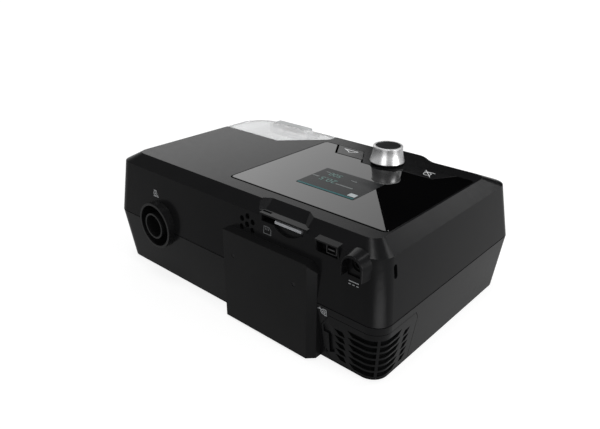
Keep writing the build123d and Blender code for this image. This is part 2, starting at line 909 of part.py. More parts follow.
mute_button.part.label = "mute_button"
export_step(mute_button.part, "parts/mute_button.step")

with BuildPart() as button_switches:
    with BuildSketch(Plane.XY.offset(board_z)):
        with Locations(*[(controls_x + side * key_middle[0], key_middle[1]) for side in (-1, 1)]):
            Rectangle(switch_width, switch_width)
    extrude(amount=switch_height)
    with BuildSketch(Plane.XY.offset(board_z)):
        with Locations(*[(controls_x + side * key_middle[0], key_middle[1]) for side in (-1, 1)]):
            Circle(switch_stem)
    extrude(amount=switch_top_z - board_z)

button_switches.part.label = "button_switches"
export_step(button_switches.part, "parts/button_switches.step")

encoder_width = 12.4
encoder_top_z = ceiling_z - fit_gap
encoder_lid = 1.5
cavity_radius = 5
cavity_z = board_z + 1
plunger_z = cavity_z + dial_travel + fit_gap
plunger_height = 1
shaft_low_z = plunger_z + plunger_height + running
dial_z = top_z + dial_travel + part_gap
dial_top_z = top_z + dial_height
shaft_high_z = dial_top_z - 4

with BuildPart() as encoder_body:
    with BuildSketch(Plane.XY.offset(board_z)):
        with Locations((controls_x, dial_y)):
            Rectangle(encoder_width, encoder_width)
    extrude(amount=encoder_top_z - board_z)
    with BuildSketch(Plane.XY.offset(encoder_top_z)):
        with Locations((controls_x, dial_y)):
            Circle(encoder_bush_radius)
    extrude(amount=top_z - 0.5 - encoder_top_z)
    with BuildSketch(Plane.XY.offset(cavity_z)):
        with Locations((controls_x, dial_y)):
            Circle(cavity_radius)
    extrude(amount=encoder_top_z - encoder_lid - cavity_z, mode=Mode.SUBTRACT)
    with BuildSketch(Plane.XY.offset(cavity_z)):
        with Locations((controls_x, dial_y)):
            Circle(shaft_radius + running)
    extrude(amount=top_z - cavity_z, mode=Mode.SUBTRACT)

encoder_body.part.label = "encoder_body"
export_step(encoder_body.part, "parts/encoder_body.step")

with BuildPart() as encoder_plunger:
    with BuildSketch(Plane.XY.offset(plunger_z)):
        with Locations((controls_x, dial_y)):
            Circle(cavity_radius - running)
    extrude(amount=plunger_height)

encoder_plunger.part.label = "encoder_plunger"
export_step(encoder_plunger.part, "parts/encoder_plunger.step")

with BuildPart() as encoder_shaft:
    with BuildSketch(Plane.XY.offset(shaft_low_z)):
        with Locations((controls_x, dial_y)):
            Circle(shaft_radius)
    extrude(amount=shaft_high_z - shaft_low_z)
    with BuildSketch(Plane.XY.offset(shaft_low_z)):
        with Locations((controls_x, dial_y)):
            Circle(cavity_radius - 0.8)
    extrude(amount=1)

encoder_shaft.part.label = "encoder_shaft"
export_step(encoder_shaft.part, "parts/encoder_shaft.step")

cap_radius = 10
cap_seat_z = dial_top_z - 1
dial_waist = 12
with BuildPart() as knob_ring:
    with BuildSketch(Plane.XZ.offset(-dial_y)):
        with BuildLine():
            l1 = Polyline(
                (controls_x, dial_z), (controls_x + dial_radius - 1, dial_z),
                (controls_x + dial_radius, dial_z + 1.5),
            )
            l2 = ThreePointArc(
                l1 @ 1,
                (controls_x + dial_waist + 0.6, dial_z + 7.5),
                (controls_x + dial_waist, dial_top_z - 1.6),
            )
            l3 = ThreePointArc(
                l2 @ 1,
                (controls_x + dial_waist - 0.4, dial_top_z - 0.5),
                (controls_x + dial_waist - 1.4, dial_top_z),
            )
            Polyline(
                l3 @ 1, (controls_x + cap_radius + running, dial_top_z),
                (controls_x + cap_radius + running, cap_seat_z), (controls_x, cap_seat_z),
                (controls_x, dial_z),
            )
        make_face()
    revolve(axis=Axis((controls_x, dial_y, 0), (0, 0, 1)))
    with BuildSketch(Plane.XY.offset(dial_z)):
        with Locations((controls_x, dial_y)):
            Circle(dial_waist - 1.6)
            Circle(shaft_radius + 2, mode=Mode.SUBTRACT)
    extrude(amount=8, mode=Mode.SUBTRACT)
    with BuildSketch(Plane.XY.offset(dial_z)):
        with Locations((controls_x, dial_y)):
            Circle(shaft_radius + press)
    extrude(amount=shaft_high_z - dial_z, mode=Mode.SUBTRACT)

knob_ring.part.label = "knob_ring"
export_step(knob_ring.part, "parts/knob_ring.step")

with BuildPart() as knob_cap:
    with BuildSketch(Plane.XY.offset(cap_seat_z)):
        with Locations((controls_x, dial_y)):
            Circle(cap_radius)
    extrude(amount=0.8)

knob_cap.part.label = "knob_cap"
export_step(knob_cap.part, "parts/knob_cap.step")

# ---- sockets on the back ----------------------------------------------------------------------

socket_wall = 2
socket_depth = 25.2
socket_end = 1
socket_rear_y = pocket_back_y - 3
socket_front_y = socket_rear_y - socket_depth
with BuildPart() as sd_socket:
    with BuildSketch(back_plane(socket_rear_y)):
        with Locations((card_x, board_z)):
            Rectangle(card_width + 2 * socket_wall, card_z + card_thickness + 0.8 - board_z,
                      align=(Align.CENTER, Align.MIN))
    extrude(amount=socket_depth)
    with BuildSketch(back_plane(socket_rear_y)):
        with Locations((card_x, card_z + card_thickness / 2)):
            Rectangle(card_width + 2 * fit_gap, card_thickness + 2 * fit_gap)
    extrude(amount=socket_depth - socket_end, mode=Mode.SUBTRACT)

sd_socket.part.label = "sd_socket"
export_step(sd_socket.part, "parts/sd_socket.step")

card_rear_y = socket_front_y + socket_end + fit_gap + card_length
with BuildPart() as sd_card:
    with BuildSketch(Plane.XY.offset(card_z)):
        with Locations((card_x, card_rear_y)):
            Rectangle(card_width, card_length, align=(Align.CENTER, Align.MAX))
    extrude(amount=card_thickness)
    cut_corner = sd_card.edges().filter_by(Axis.Z).group_by(Axis.Y)[0].sort_by(Axis.X)[-1]
    chamfer(cut_corner, length=3)

sd_card.part.label = "sd_card"
export_step(sd_card.part, "parts/sd_card.step")

port_wall = 0.4
port_tongue = 0.9
port_length = 9
with BuildPart() as usb_socket:
    # body on the board, and a deeper nose that hangs over the board's edge into the hood
    with BuildSketch(back_plane(port_front_y)):
        with Locations((usb_port_x, board_z)):
            Rectangle(port_width, port_height, align=(Align.CENTER, Align.MIN))
    extrude(amount=port_front_y - main_board_rear + port_length)
    with BuildSketch(back_plane(port_front_y)):
        with Locations((usb_port_x, port_low_z)):
            Rectangle(port_width, port_total, align=(Align.CENTER, Align.MIN))
    extrude(amount=port_front_y - main_board_rear - 0.3)
    with BuildSketch(back_plane(port_front_y)):
        with Locations((usb_port_x, port_low_z + port_total / 2)):
            Rectangle(port_width - 2 * port_wall, port_total - 2 * port_wall)
            Rectangle(port_width - 3, port_tongue, mode=Mode.SUBTRACT)
    extrude(amount=port_front_y - main_board_rear - 1.5, mode=Mode.SUBTRACT)

usb_socket.part.label = "usb_socket"
export_step(usb_socket.part, "parts/usb_socket.step")

jack_body_y = jack_seat_y - 4.5
jack_body_width = 9.6
jack_body_length = 12
with BuildPart() as dc_jack:
    with BuildSketch(back_plane(jack_body_y)):
        with Locations((jack_x, jack_z)):
            Rectangle(jack_body_width, jack_body_width)
    extrude(amount=jack_body_length)
    with BuildSketch(back_plane(jack_front_y)):
        with Locations((jack_x, jack_z)):
            Circle(jack_radius)
    extrude(amount=jack_front_y - jack_body_y)
    with BuildSketch(back_plane(jack_front_y)):
        with Locations((jack_x, jack_z)):
            Circle(jack_bore)
            Circle(jack_pin, mode=Mode.SUBTRACT)
    extrude(amount=jack_body_length, mode=Mode.SUBTRACT)

dc_jack.part.label = "dc_jack"
export_step(dc_jack.part, "parts/dc_jack.step")

speaker_face = wall + part_gap
with BuildPart() as speaker:
    with BuildSketch(speaker_plane.offset(-speaker_face)):
        Circle(speaker_radius)
    extrude(amount=-2)
    with BuildSketch(speaker_plane.offset(-speaker_face - 2)):
        Circle(speaker_radius - 3)
    extrude(amount=-3)

speaker.part.label = "speaker"
export_step(speaker.part, "parts/speaker.step")

# ---- module on the back -----------------------------------------------------------------------

module_inner_y = module_rear_y - module_wall
module_depth = 17
module_cut = 6              # corner cut off the top of the module's outer side
module_bevel = 5
module_outline = [
    (module_right, base_z),
    (module_right, module_high_z),
    (module_left + module_cut, module_high_z),
    (module_left, module_high_z - module_cut),
    (module_left, base_z),
]
module_screw_head = 1.5
module_screw_head_height = 1.1
module_screw_sink = 0.25    # how far the screw heads lie below the module's face
module_screw_seat_y = module_rear_y - module_screw_sink - module_screw_head_height
module_screw_length = 11
module_board_y = module_inner_y - 0.6
module_board_x = (module_left + module_right) / 2 + 3.5
module_board_z = base_z + 27
module_board_width = 66
module_board_height = 42
peg_span = 56
peg_rise = 30
module_peg_places = [
    (module_board_x + side * peg_span / 2, module_board_z + level * peg_rise / 2)
    for side in (-1, 1) for level in (-1, 1)
]
plug_width = 34
plug_height = 12
plug_depth = 2.6
peg_radius = 2.5
peg_pin = 1

with BuildPart() as module_cover:
    with BuildSketch(back_plane(module_rear_y)):
        with BuildLine():
            Polyline(*module_outline, close=True)
        make_face()
    extrude(amount=module_depth)
    rear_edges = module_cover.faces().sort_by(Axis.Y)[-1].edges()
    chamfer(rear_edges.filter_by(Axis.Z).sort_by(Axis.X)[0], length=module_bevel)
    with BuildSketch(back_plane(module_inner_y)):
        with BuildLine():
            Polyline(*module_outline, close=True)
        make_face()
        offset(amount=-module_wall, kind=Kind.INTERSECTION)
        with Locations((module_left, base_z)):
            Rectangle(module_bevel + 1, 100, align=Align.MIN, mode=Mode.SUBTRACT)
    extrude(amount=module_depth, mode=Mode.SUBTRACT)
    # bosses for the two screws, and pegs with pins for the board
    with BuildSketch(back_plane(module_inner_y)):
        with Locations(*[(x, module_screw_z) for x in module_screw_x]):
            Circle(boss_radius + 0.5)
    extrude(amount=module_depth - module_wall)
    with BuildSketch(back_plane(module_inner_y)):
        with Locations(*module_peg_places):
            Circle(peg_radius)
    extrude(amount=module_inner_y - module_board_y)
    with BuildSketch(back_plane(module_board_y)):
        with Locations(*module_peg_places):
            Circle(peg_pin)
    extrude(amount=1.2)
    add(upper_outside, mode=Mode.SUBTRACT)
    add(lower_outside, mode=Mode.SUBTRACT)
    with BuildSketch(back_plane(module_rear_y)):
        with Locations(*[(x, module_screw_z) for x in module_screw_x]):
            Circle(module_screw_head + 0.15)
    extrude(amount=module_rear_y - module_screw_seat_y, mode=Mode.SUBTRACT)
    with BuildSketch(back_plane(module_rear_y)):
        with Locations(*[(x, module_screw_z) for x in module_screw_x]):
            Circle(module_screw_radius + 0.15)
    extrude(amount=module_depth, mode=Mode.SUBTRACT)

module_cover.part.label = "module_cover"
export_step(module_cover.part, "parts/module_cover.step")

with BuildPart() as module_screws:
    with BuildSketch(back_plane(module_screw_seat_y + module_screw_head_height)):
        with Locations(*[(x, module_screw_z) for x in module_screw_x]):
            Circle(module_screw_head)
    extrude(amount=module_screw_head_height)
    with BuildSketch(back_plane(module_screw_seat_y)):
        with Locations(*[(x, module_screw_z) for x in module_screw_x]):
            Circle(module_screw_radius)
    extrude(amount=module_screw_length)

module_screws.part.label = "module_screws"
export_step(module_screws.part, "parts/module_screws.step")

with BuildPart() as module_board:
    with BuildSketch(back_plane(module_board_y)):
        with Locations((module_board_x, module_board_z)):
            Rectangle(module_board_width, module_board_height)
        with Locations(*module_peg_places):
            Circle(peg_pin + running, mode=Mode.SUBTRACT)
    extrude(amount=board_thickness)
    with BuildSketch(back_plane(module_board_y - board_thickness)):
        with Locations((module_board_x, module_board_z - plug_height)):
            Rectangle(plug_width, plug_height)
    extrude(amount=plug_depth)

module_board.part.label = "module_board"
export_step(module_board.part, "parts/module_board.step")

# ---- filter cover and filter ------------------------------------------------------------------

slot_height = 4
slot_pitch = 5.55
slot_slant = 4              # how far a slot's pointed end leans
long_slots = 6
long_slot_low_z = base_z + 2.6
short_slot_lift = 0.35 * slot_pitch
long_slot_right = -half_width + 26.4
long_slot_front = rear_y - 26.6
rear_slots = (-half_width + 28.4, -half_width + 37.4)
side_slots = (rear_y - 37.4, rear_y - 29)
rib_width = 2
rib_shift = 0.65
slot_cut = 20               # depth of the cutting blocks, more than the cover is thick
notch_right = -half_width + 46.6
notch_left = -half_width + 38
notch_low_z = base_z + 7.4
notch_high_z = base_z + 33.8
notch_step_z = base_z + 23.8
notch_corner = 4.2
notch_sink = 1.1            # depth of the notch's sloping upper facet
clip_left = notch_right - 4.2
cover_region = filter_region(0)
cover_lining = case_block(lower_levels, filter_cover_wall)

with BuildPart() as corner_rib:
    with BuildSketch(Plane.XY.offset(base_z)):
        with Locations((-half_width + seam[4] - rib_shift, rear_y - seam[4] - rib_shift)):
            Rectangle(3 * slot_cut, rib_width, rotation=135)
    extrude(amount=seam_rise)


def leaf_slot(start, end, low):
    """Corners of a short slot whose two ends lean the same way."""
    lean = slot_slant if end > start else -slot_slant
    high = low + slot_height
    return [(start, low), (start + lean / 2, high), (end, high), (end - lean, low)]


with BuildPart() as louvres:
    long_levels = [long_slot_low_z + slot_pitch * i for i in range(long_slots)]
    short_levels = [z + short_slot_lift for z in long_levels[:-1]]
    for z in long_levels:
        with BuildSketch(Plane.XY.offset(z)):
            with Locations((long_slot_right, long_slot_front)):
                Rectangle(3 * slot_cut, 3 * slot_cut, align=(Align.MAX, Align.MIN))
        extrude(amount=slot_height)
    # pointed ends of the long slots, on the rear and on the side
    for z in long_levels:
        with BuildSketch(back_plane(rear_y + clear)):
            with BuildLine():
                Polyline(
                    (long_slot_right, z), (long_slot_right - slot_slant, z),
                    (long_slot_right, z + slot_height), close=True,
                )
            make_face()
        extrude(amount=slot_cut, mode=Mode.SUBTRACT)
        with BuildSketch(Plane.YZ.offset(-half_width - clear)):
            with BuildLine():
                Polyline(
                    (long_slot_front, z), (long_slot_front + slot_slant, z),
                    (long_slot_front, z + slot_height), close=True,
                )
            make_face()
        extrude(amount=slot_cut, mode=Mode.SUBTRACT)
    add(corner_rib.part, mode=Mode.SUBTRACT)
    for z in short_levels:
        with BuildSketch(back_plane(rear_y + clear)):
            with BuildLine():
                Polyline(*leaf_slot(rear_slots[0], rear_slots[1], z), close=True)
            make_face()
        extrude(amount=slot_cut)
        with BuildSketch(Plane.YZ.offset(-half_width - clear)):
            with BuildLine():
                Polyline(*leaf_slot(side_slots[1], side_slots[0], z), close=True)
            make_face()
        extrude(amount=slot_cut)

# finger notch: a sloping facet above, a slot through the cover beside the clip below
facet_top_y = rear_y - (seam_z - notch_high_z) * underside[2] / seam_rise
facet_low_y = rear_y - (seam_z - notch_step_z) * underside[2] / seam_rise - notch_sink
with BuildPart() as notch_facet:
    with BuildSketch(Plane.YZ.offset(notch_left)):
        with BuildLine():
            Polyline(
                (facet_top_y, notch_high_z), (facet_low_y, notch_step_z),
                (rear_y + clear, notch_step_z), (rear_y + clear, notch_high_z), close=True,
            )
        make_face()
    extrude(amount=notch_right - notch_left)
    upright = notch_facet.edges().filter_by(Axis.Y).sort_by(Axis.Z)
    chamfer(upright[-2:], length=notch_corner)

with BuildPart() as filter_cover:
    add(lower_outside)
    add(cover_lining, mode=Mode.SUBTRACT)
    add(cover_region, mode=Mode.INTERSECT)
    add(louvres.part, mode=Mode.SUBTRACT)
    add(notch_facet.part, mode=Mode.SUBTRACT)
    with BuildSketch(back_plane(rear_y + clear)):
        with BuildLine():
            Polyline(
                (notch_left, notch_low_z + 2), (notch_left, notch_step_z),
                (clip_left, notch_step_z), (clip_left, notch_low_z), close=True,
            )
        make_face()
        with BuildLine():
            Polyline(
                (clip_left + 1, notch_low_z - 1), (clip_left + 3.2, notch_low_z - 1),
                (clip_left + 3.2, notch_low_z + 2), close=True,
            )
        make_face()
    extrude(amount=slot_cut, mode=Mode.SUBTRACT)

filter_cover.part.label = "filter_cover"
export_step(filter_cover.part, "parts/filter_cover.step")

foam_thickness = 8.7
foam_inset = filter_lip + 0.5
foam_outer = case_block(lower_levels, filter_cover_wall + fit_gap)
foam_inner = case_block(lower_levels, filter_cover_wall + fit_gap + foam_thickness)
foam_region = filter_region(-foam_inset, window_right + filter_lip, window_cut, window_cut)
with BuildPart() as air_filter:
    add(foam_outer)
    add(foam_inner, mode=Mode.SUBTRACT)
    add(foam_region, mode=Mode.INTERSECT)

air_filter.part.label = "air_filter"
export_step(air_filter.part, "parts/air_filter.step")

# ---- hose outlet and its duct -----------------------------------------------------------------

well_y = rear_y + outlet_reach - spigot_depth
duct_end_y = bay_wall_y + bay_wall + 1
seal_front_y = chamber_rear_y + fit_gap
seal_rear_y = duct_end_y + 3
flange_y = rear_y - 5.6

with BuildPart() as air_outlet:
    with BuildSketch(back_plane(rear_y + outlet_reach - 0.6)):
        with Locations((outlet_x, port_z)):
            Circle(collar_radius)
    extrude(amount=spigot_depth + 2)
    with BuildSketch(back_plane(flange_y)):
        with Locations((outlet_x, port_z)):
            Circle(collar_radius + 3)
    extrude(amount=2)
    with BuildSketch(back_plane(rear_y + outlet_reach - 0.6)):
        with Locations((outlet_x, port_z)):
            Circle(collar_radius - 2)
    extrude(amount=spigot_depth - 0.6, mode=Mode.SUBTRACT)
    with BuildSketch(back_plane(rear_y + outlet_reach)):
        with Locations((outlet_x, port_z)):
            Circle(spigot_radius)
    extrude(amount=spigot_depth)
    with BuildSketch(back_plane(well_y)):
        with Locations((outlet_x, port_z)):
            Circle(duct_radius)
    extrude(amount=well_y - duct_end_y)
    with BuildSketch(back_plane(rear_y + outlet_reach)):
        with Locations((outlet_x, port_z)):
            Circle(spigot_bore)
    extrude(amount=rear_y + outlet_reach - duct_end_y, mode=Mode.SUBTRACT)

air_outlet.part.label = "air_outlet"
export_step(air_outlet.part, "parts/air_outlet.step")


def port_seal(x):
    """Soft ring on the end of a duct, facing a port of the water chamber."""
    with BuildPart() as ring:
        with BuildSketch(back_plane(seal_rear_y)):
            with Locations((x, port_z)):
                Circle(seal_radius)
        extrude(amount=seal_rear_y - seal_front_y)
        with BuildSketch(back_plane(seal_rear_y)):
            with Locations((x, port_z)):
                Circle(spigot_bore)
        extrude(amount=seal_rear_y - seal_front_y, mode=Mode.SUBTRACT)
        with BuildSketch(back_plane(seal_rear_y)):
            with Locations((x, port_z)):
                Circle(duct_radius + running)
        extrude(amount=seal_rear_y - duct_end_y, mode=Mode.SUBTRACT)
    return ring.part


outlet_ring = port_seal(outlet_x)
inlet_ring = port_seal(inlet_x)
with BuildPart() as outlet_seal:
    add(outlet_ring)

outlet_seal.part.label = "outlet_seal"
export_step(outlet_seal.part, "parts/outlet_seal.step")

with BuildPart() as inlet_seal:
    add(inlet_ring)

inlet_seal.part.label = "inlet_seal"
export_step(inlet_seal.part, "parts/inlet_seal.step")

# ---- blower -----------------------------------------------------------------------------------

volute_wall = 2
stub_end_x = blower_x + volute_radius + 4
tongue_x = blower_x + 23.7
tongue_y = blower_y + 23.7
eye_radius = 18
shaft_hole = 4
motor_shaft_radius = 2
motor_radius = 22
motor_low_z = volute_low_z - 20
bearing_radius = 5
bearing_height = 4
grommet_radius = 6
grommet_neck = 3


def scroll(z, height, inset):
    """Spiral block of the blower, widening towards the outlet."""
    top = (blower_x, blower_y + volute_radius)
    with BuildPart() as block:
        with BuildSketch(Plane.XY.offset(z)):
            with BuildLine():
                l1 = ThreePointArc(
                    top,
                    (blower_x - volute_radius + 2, blower_y),
                    (blower_x, blower_y - volute_radius + 4.5),
                )
                l2 = ThreePointArc(
                    l1 @ 1, (blower_x + volute_radius - 7, blower_y), (tongue_x, tongue_y)
                )
                Polyline(l2 @ 1, (tongue_x, top[1]), top)
            make_face()
            if inset:
                offset(amount=-inset, kind=Kind.INTERSECTION)
        extrude(amount=height)
    return block.part


volute_height = volute_high_z - volute_low_z
scroll_outer = scroll(volute_low_z, volute_height, 0)
scroll_inner = scroll(volute_low_z + volute_wall, volute_height - 2 * volute_wall, volute_wall)
with BuildPart() as volute:
    add(scroll_outer)
    with BuildSketch(Plane.YZ.offset(tongue_x - 8)):
        with Locations((duct_y, port_z)):
            Circle(duct_radius)
    extrude(amount=stub_end_x - tongue_x + 8)
    add(scroll_inner, mode=Mode.SUBTRACT)
    with BuildSketch(Plane.YZ.offset(tongue_x - 8)):
        with Locations((duct_y, port_z)):
            Circle(spigot_bore)
    extrude(amount=stub_end_x - tongue_x + 8, mode=Mode.SUBTRACT)

with BuildPart() as blower_lower:
    add(volute.part)
    split(bisect_by=Plane.XY.offset(blower_split_z), keep=Keep.BOTTOM)
    with BuildSketch(Plane.XY.offset(volute_low_z)):
        with Locations((blower_x, blower_y)):
            SlotCenterToCenter(2 * ear_radius, 2 * grommet_radius, rotation=ear_turn)
            SlotCenterToCenter(2 * ear_radius, 2 * grommet_radius, rotation=ear_turn + 90)
    extrude(amount=volute_wall)
    with BuildSketch(Plane.XY.offset(volute_low_z)):
        with Locations((blower_x, blower_y)):
            Circle(shaft_hole)
        with Locations(*ear_places):
            Circle(grommet_neck + running)
    extrude(amount=volute_wall, mode=Mode.SUBTRACT)

blower_lower.part.label = "blower_lower"
export_step(blower_lower.part, "parts/blower_lower.step")

with BuildPart() as blower_upper:
    add(volute.part)
    split(bisect_by=Plane.XY.offset(blower_split_z), keep=Keep.TOP)
    with BuildSketch(Plane.XY.offset(volute_high_z)):
        with Locations((blower_x, blower_y)):
            Circle(eye_radius)
    extrude(amount=-volute_wall, mode=Mode.SUBTRACT)

blower_upper.part.label = "blower_upper"
export_step(blower_upper.part, "parts/blower_upper.step")

with BuildPart() as blower_mounts:
    with BuildSketch(Plane.XY.offset(volute_low_z - mount_height)):
        with Locations(*ear_places):
            Circle(grommet_radius)
    extrude(amount=mount_height)
    with BuildSketch(Plane.XY.offset(volute_low_z)):
        with Locations(*ear_places):
            Circle(grommet_neck)
    extrude(amount=volute_wall + 1)
    with BuildSketch(Plane.XY.offset(volute_low_z + volute_wall)):
        with Locations(*ear_places):
            Circle(grommet_neck + 1.5)
    extrude(amount=1.5)
    with BuildSketch(Plane.XY.offset(volute_low_z - mount_height)):
        with Locations(*ear_places):
            Circle(mount_pin + running)
    extrude(amount=mount_height - 1.5, mode=Mode.SUBTRACT)

blower_mounts.part.label = "blower_mounts"
export_step(blower_mounts.part, "parts/blower_mounts.step")

wheel_z = volute_low_z + 5
wheel_plate = 1.5
blade_height = 15
blade_inner = 13
blade_width = 1.2
blade_sink = 0.5            # blades reach this far into both rings
hub_radius = 6
hub_height = 9
with BuildPart() as blade:
    with BuildSketch(Plane.XY.offset(wheel_z + wheel_plate - blade_sink)):
        with BuildLine():
            ThreePointArc(
                (blade_inner, 0),
                (0.72 * impeller_radius, -0.22 * impeller_radius),
                (0.82 * impeller_radius, -0.55 * impeller_radius),
            )
        trace(line_width=blade_width)
    extrude(amount=blade_height)

with BuildPart() as impeller:
    with BuildSketch(Plane.XY.offset(wheel_z)):
        with Locations((blower_x, blower_y)):
            Circle(impeller_radius)
    extrude(amount=wheel_plate)
    with BuildSketch(Plane.XY.offset(wheel_z)):
        with Locations((blower_x, blower_y)):
            Circle(hub_radius)
    extrude(amount=hub_height)
    with Locations((blower_x, blower_y)):
        with PolarLocations(0, blade_count):
            add(blade.part)
    with BuildSketch(Plane.XY.offset(wheel_z + wheel_plate + blade_height - 2 * blade_sink)):
        with Locations((blower_x, blower_y)):
            Circle(impeller_radius)
            Circle(eye_radius, mode=Mode.SUBTRACT)
    extrude(amount=wheel_plate)
    with BuildSketch(Plane.XY.offset(wheel_z)):
        with Locations((blower_x, blower_y)):
            Circle(motor_shaft_radius + press)
    extrude(amount=hub_height, mode=Mode.SUBTRACT)

impeller.part.label = "impeller"
export_step(impeller.part, "parts/impeller.step")

motor_floor = 3
bearing_levels = [motor_low_z + motor_floor, volute_low_z - 1 - bearing_height]
with BuildPart() as motor_case:
    with BuildSketch(Plane.XY.offset(motor_low_z)):
        with Locations((blower_x, blower_y)):
            Circle(motor_radius)
    extrude(amount=volute_low_z - motor_low_z)
    chamfer(motor_case.faces().sort_by(Axis.Z)[0].edges(), length=2)
    with BuildSketch(Plane.XY.offset(motor_low_z + motor_floor)):
        with Locations((blower_x, blower_y)):
            Circle(bearing_radius + press)
    extrude(amount=volute_low_z - motor_low_z - motor_floor, mode=Mode.SUBTRACT)

motor_case.part.label = "motor_case"
export_step(motor_case.part, "parts/motor_case.step")

with BuildPart() as motor_bearings:
    for z in bearing_levels:
        with BuildSketch(Plane.XY.offset(z)):
            with Locations((blower_x, blower_y)):
                Circle(bearing_radius)
                Circle(motor_shaft_radius + running, mode=Mode.SUBTRACT)
        extrude(amount=bearing_height)

motor_bearings.part.label = "motor_bearings"
export_step(motor_bearings.part, "parts/motor_bearings.step")

shaft_foot_z = motor_low_z + motor_floor + 0.5
with BuildPart() as motor_shaft:
    with BuildSketch(Plane.XY.offset(shaft_foot_z)):
        with Locations((blower_x, blower_y)):
            Circle(motor_shaft_radius)
    extrude(amount=wheel_z + hub_height + 1 - shaft_foot_z)

motor_shaft.part.label = "motor_shaft"
export_step(motor_shaft.part, "parts/motor_shaft.step")

# ---- muffler on the blower's inlet ------------------------------------------------------------

muffler_radius = 33
muffler_height = 18
window_width = 30
window_height = 10
with BuildPart() as muffler_box:
    with BuildSketch(Plane.XY.offset(volute_high_z)):
        with Locations((blower_x, blower_y)):
            Circle(muffler_radius)
    extrude(amount=muffler_height)
    with BuildSketch(Plane.XY.offset(volute_high_z)):
        with Locations((blower_x, blower_y)):
            Circle(muffler_radius - volute_wall)
    extrude(amount=muffler_height - volute_wall, mode=Mode.SUBTRACT)
    with BuildSketch(Plane.XY.offset(volute_high_z + 3)):
        with Locations((blower_x, blower_y)):
            Rectangle(50, window_width, align=(Align.MIN, Align.CENTER), rotation=135)
    extrude(amount=window_height, mode=Mode.SUBTRACT)

muffler_box.part.label = "muffler_box"
export_step(muffler_box.part, "parts/muffler_box.step")

with BuildPart() as muffler_foam:
    with BuildSketch(Plane.XY.offset(volute_high_z)):
        with Locations((blower_x, blower_y)):
            Circle(muffler_radius - volute_wall - fit_gap)
            Circle(eye_radius + 1, mode=Mode.SUBTRACT)
    extrude(amount=muffler_height - volute_wall - fit_gap)

muffler_foam.part.label = "muffler_foam"
export_step(muffler_foam.part, "parts/muffler_foam.step")

# ---- duct from the blower to the water chamber ------------------------------------------------

elbow_y = seal_rear_y + 0.1
elbow_radius = duct_y - elbow_y
sleeve_length = 10
with BuildPart() as blower_duct:
    with BuildLine(Plane.XY.offset(port_z)) as duct_path:
        l1 = Line((stub_end_x, duct_y), (inlet_x - elbow_radius, duct_y))
        l2 = TangentArc(l1 @ 1, (inlet_x, elbow_y), tangent=(1, 0))
        Line(l2 @ 1, (inlet_x, duct_end_y))
    with BuildSketch(Plane.YZ.offset(stub_end_x)):
        with Locations((duct_y, port_z)):
            Circle(duct_radius)
            Circle(spigot_bore, mode=Mode.SUBTRACT)
    sweep(path=duct_path.line)
    with BuildSketch(Plane.YZ.offset(stub_end_x + 2)):
        with Locations((duct_y, port_z)):
            Circle(duct_radius + 2)
    extrude(amount=-sleeve_length - 2)
    with BuildSketch(Plane.YZ.offset(stub_end_x)):
        with Locations((duct_y, port_z)):
            Circle(duct_radius + running)
    extrude(amount=-sleeve_length, mode=Mode.SUBTRACT)
    with BuildSketch(Plane.YZ.offset(stub_end_x)):
        with Locations((duct_y, port_z)):
            Circle(spigot_bore)
    extrude(amount=2, mode=Mode.SUBTRACT)

blower_duct.part.label = "blower_duct"
export_step(blower_duct.part, "parts/blower_duct.step")

# ---- heater -----------------------------------------------------------------------------------

heater_radius = 38
heater_thickness = 3
insulator_margin = 3.5
with BuildPart() as heater_plate:
    with BuildSketch(Plane.XY.offset(tray_z)):
        with Locations((heater_x, heater_y)):
            Circle(heater_radius)
    extrude(amount=-heater_thickness)

heater_plate.part.label = "heater_plate"
export_step(heater_plate.part, "parts/heater_plate.step")

with BuildPart() as heater_insulator:
    with BuildSketch(Plane.XY.offset(floor_z)):
        with Locations((heater_x, heater_y)):
            Circle(heater_radius + insulator_margin)
    extrude(amount=tray_z - heater_thickness - floor_z)

heater_insulator.part.label = "heater_insulator"
export_step(heater_insulator.part, "parts/heater_insulator.step")

# ---- water chamber ----------------------------------------------------------------------------

gasket_height = 0.8
gasket_inset = 0.7
base_radius = 40
base_thickness = 1.2
latch_left = 59
latch_right = 101
latch_middle = (latch_left + latch_right) / 2
latch_rear_y = rim_front_y + 2
latch_front_y = rim_front_y - 7
latch_low_z = top_z - 4.4
latch_floor_z = latch_low_z - latch_travel - 0.5
stem_radius = 1.5
stem_offset = 8
stem_length = 3.8
stem_y = (latch_rear_y + latch_front_y) / 2
stem_places = [(latch_middle - stem_offset, stem_y), (latch_middle + stem_offset, stem_y)]
spring_offset = 15
spring_half = 4.5

chamber_outer = chamber_block(0)
chamber_hollow = chamber_block(chamber_wall)
gasket_outer = chamber_block(gasket_inset)

with BuildPart() as chamber_tub:
    add(chamber_outer)
    add(chamber_hollow, mode=Mode.SUBTRACT)
    split(bisect_by=Plane.XY.offset(chamber_split_z), keep=Keep.BOTTOM)
    with BuildSketch(Plane.XY.offset(chamber_z)):
        with Locations((heater_x, heater_y)):
            Circle(base_radius + running)
    extrude(amount=base_thickness, mode=Mode.SUBTRACT)
    with BuildSketch(Plane.XY.offset(chamber_z)):
        with Locations((heater_x, heater_y)):
            Circle(base_radius - 3)
    extrude(amount=chamber_wall, mode=Mode.SUBTRACT)

chamber_tub.part.label = "chamber_tub"
export_step(chamber_tub.part, "parts/chamber_tub.step")

with BuildPart() as chamber_base:
    with BuildSketch(Plane.XY.offset(chamber_z)):
        with Locations((heater_x, heater_y)):
            Circle(base_radius)
    extrude(amount=base_thickness)

chamber_base.part.label = "chamber_base"
export_step(chamber_base.part, "parts/chamber_base.step")

with BuildPart() as chamber_seal:
    add(gasket_outer)
    add(chamber_hollow, mode=Mode.SUBTRACT)
    split(bisect_by=Plane.XY.offset(chamber_split_z), keep=Keep.TOP)
    split(bisect_by=Plane.XY.offset(chamber_split_z + gasket_height), keep=Keep.BOTTOM)

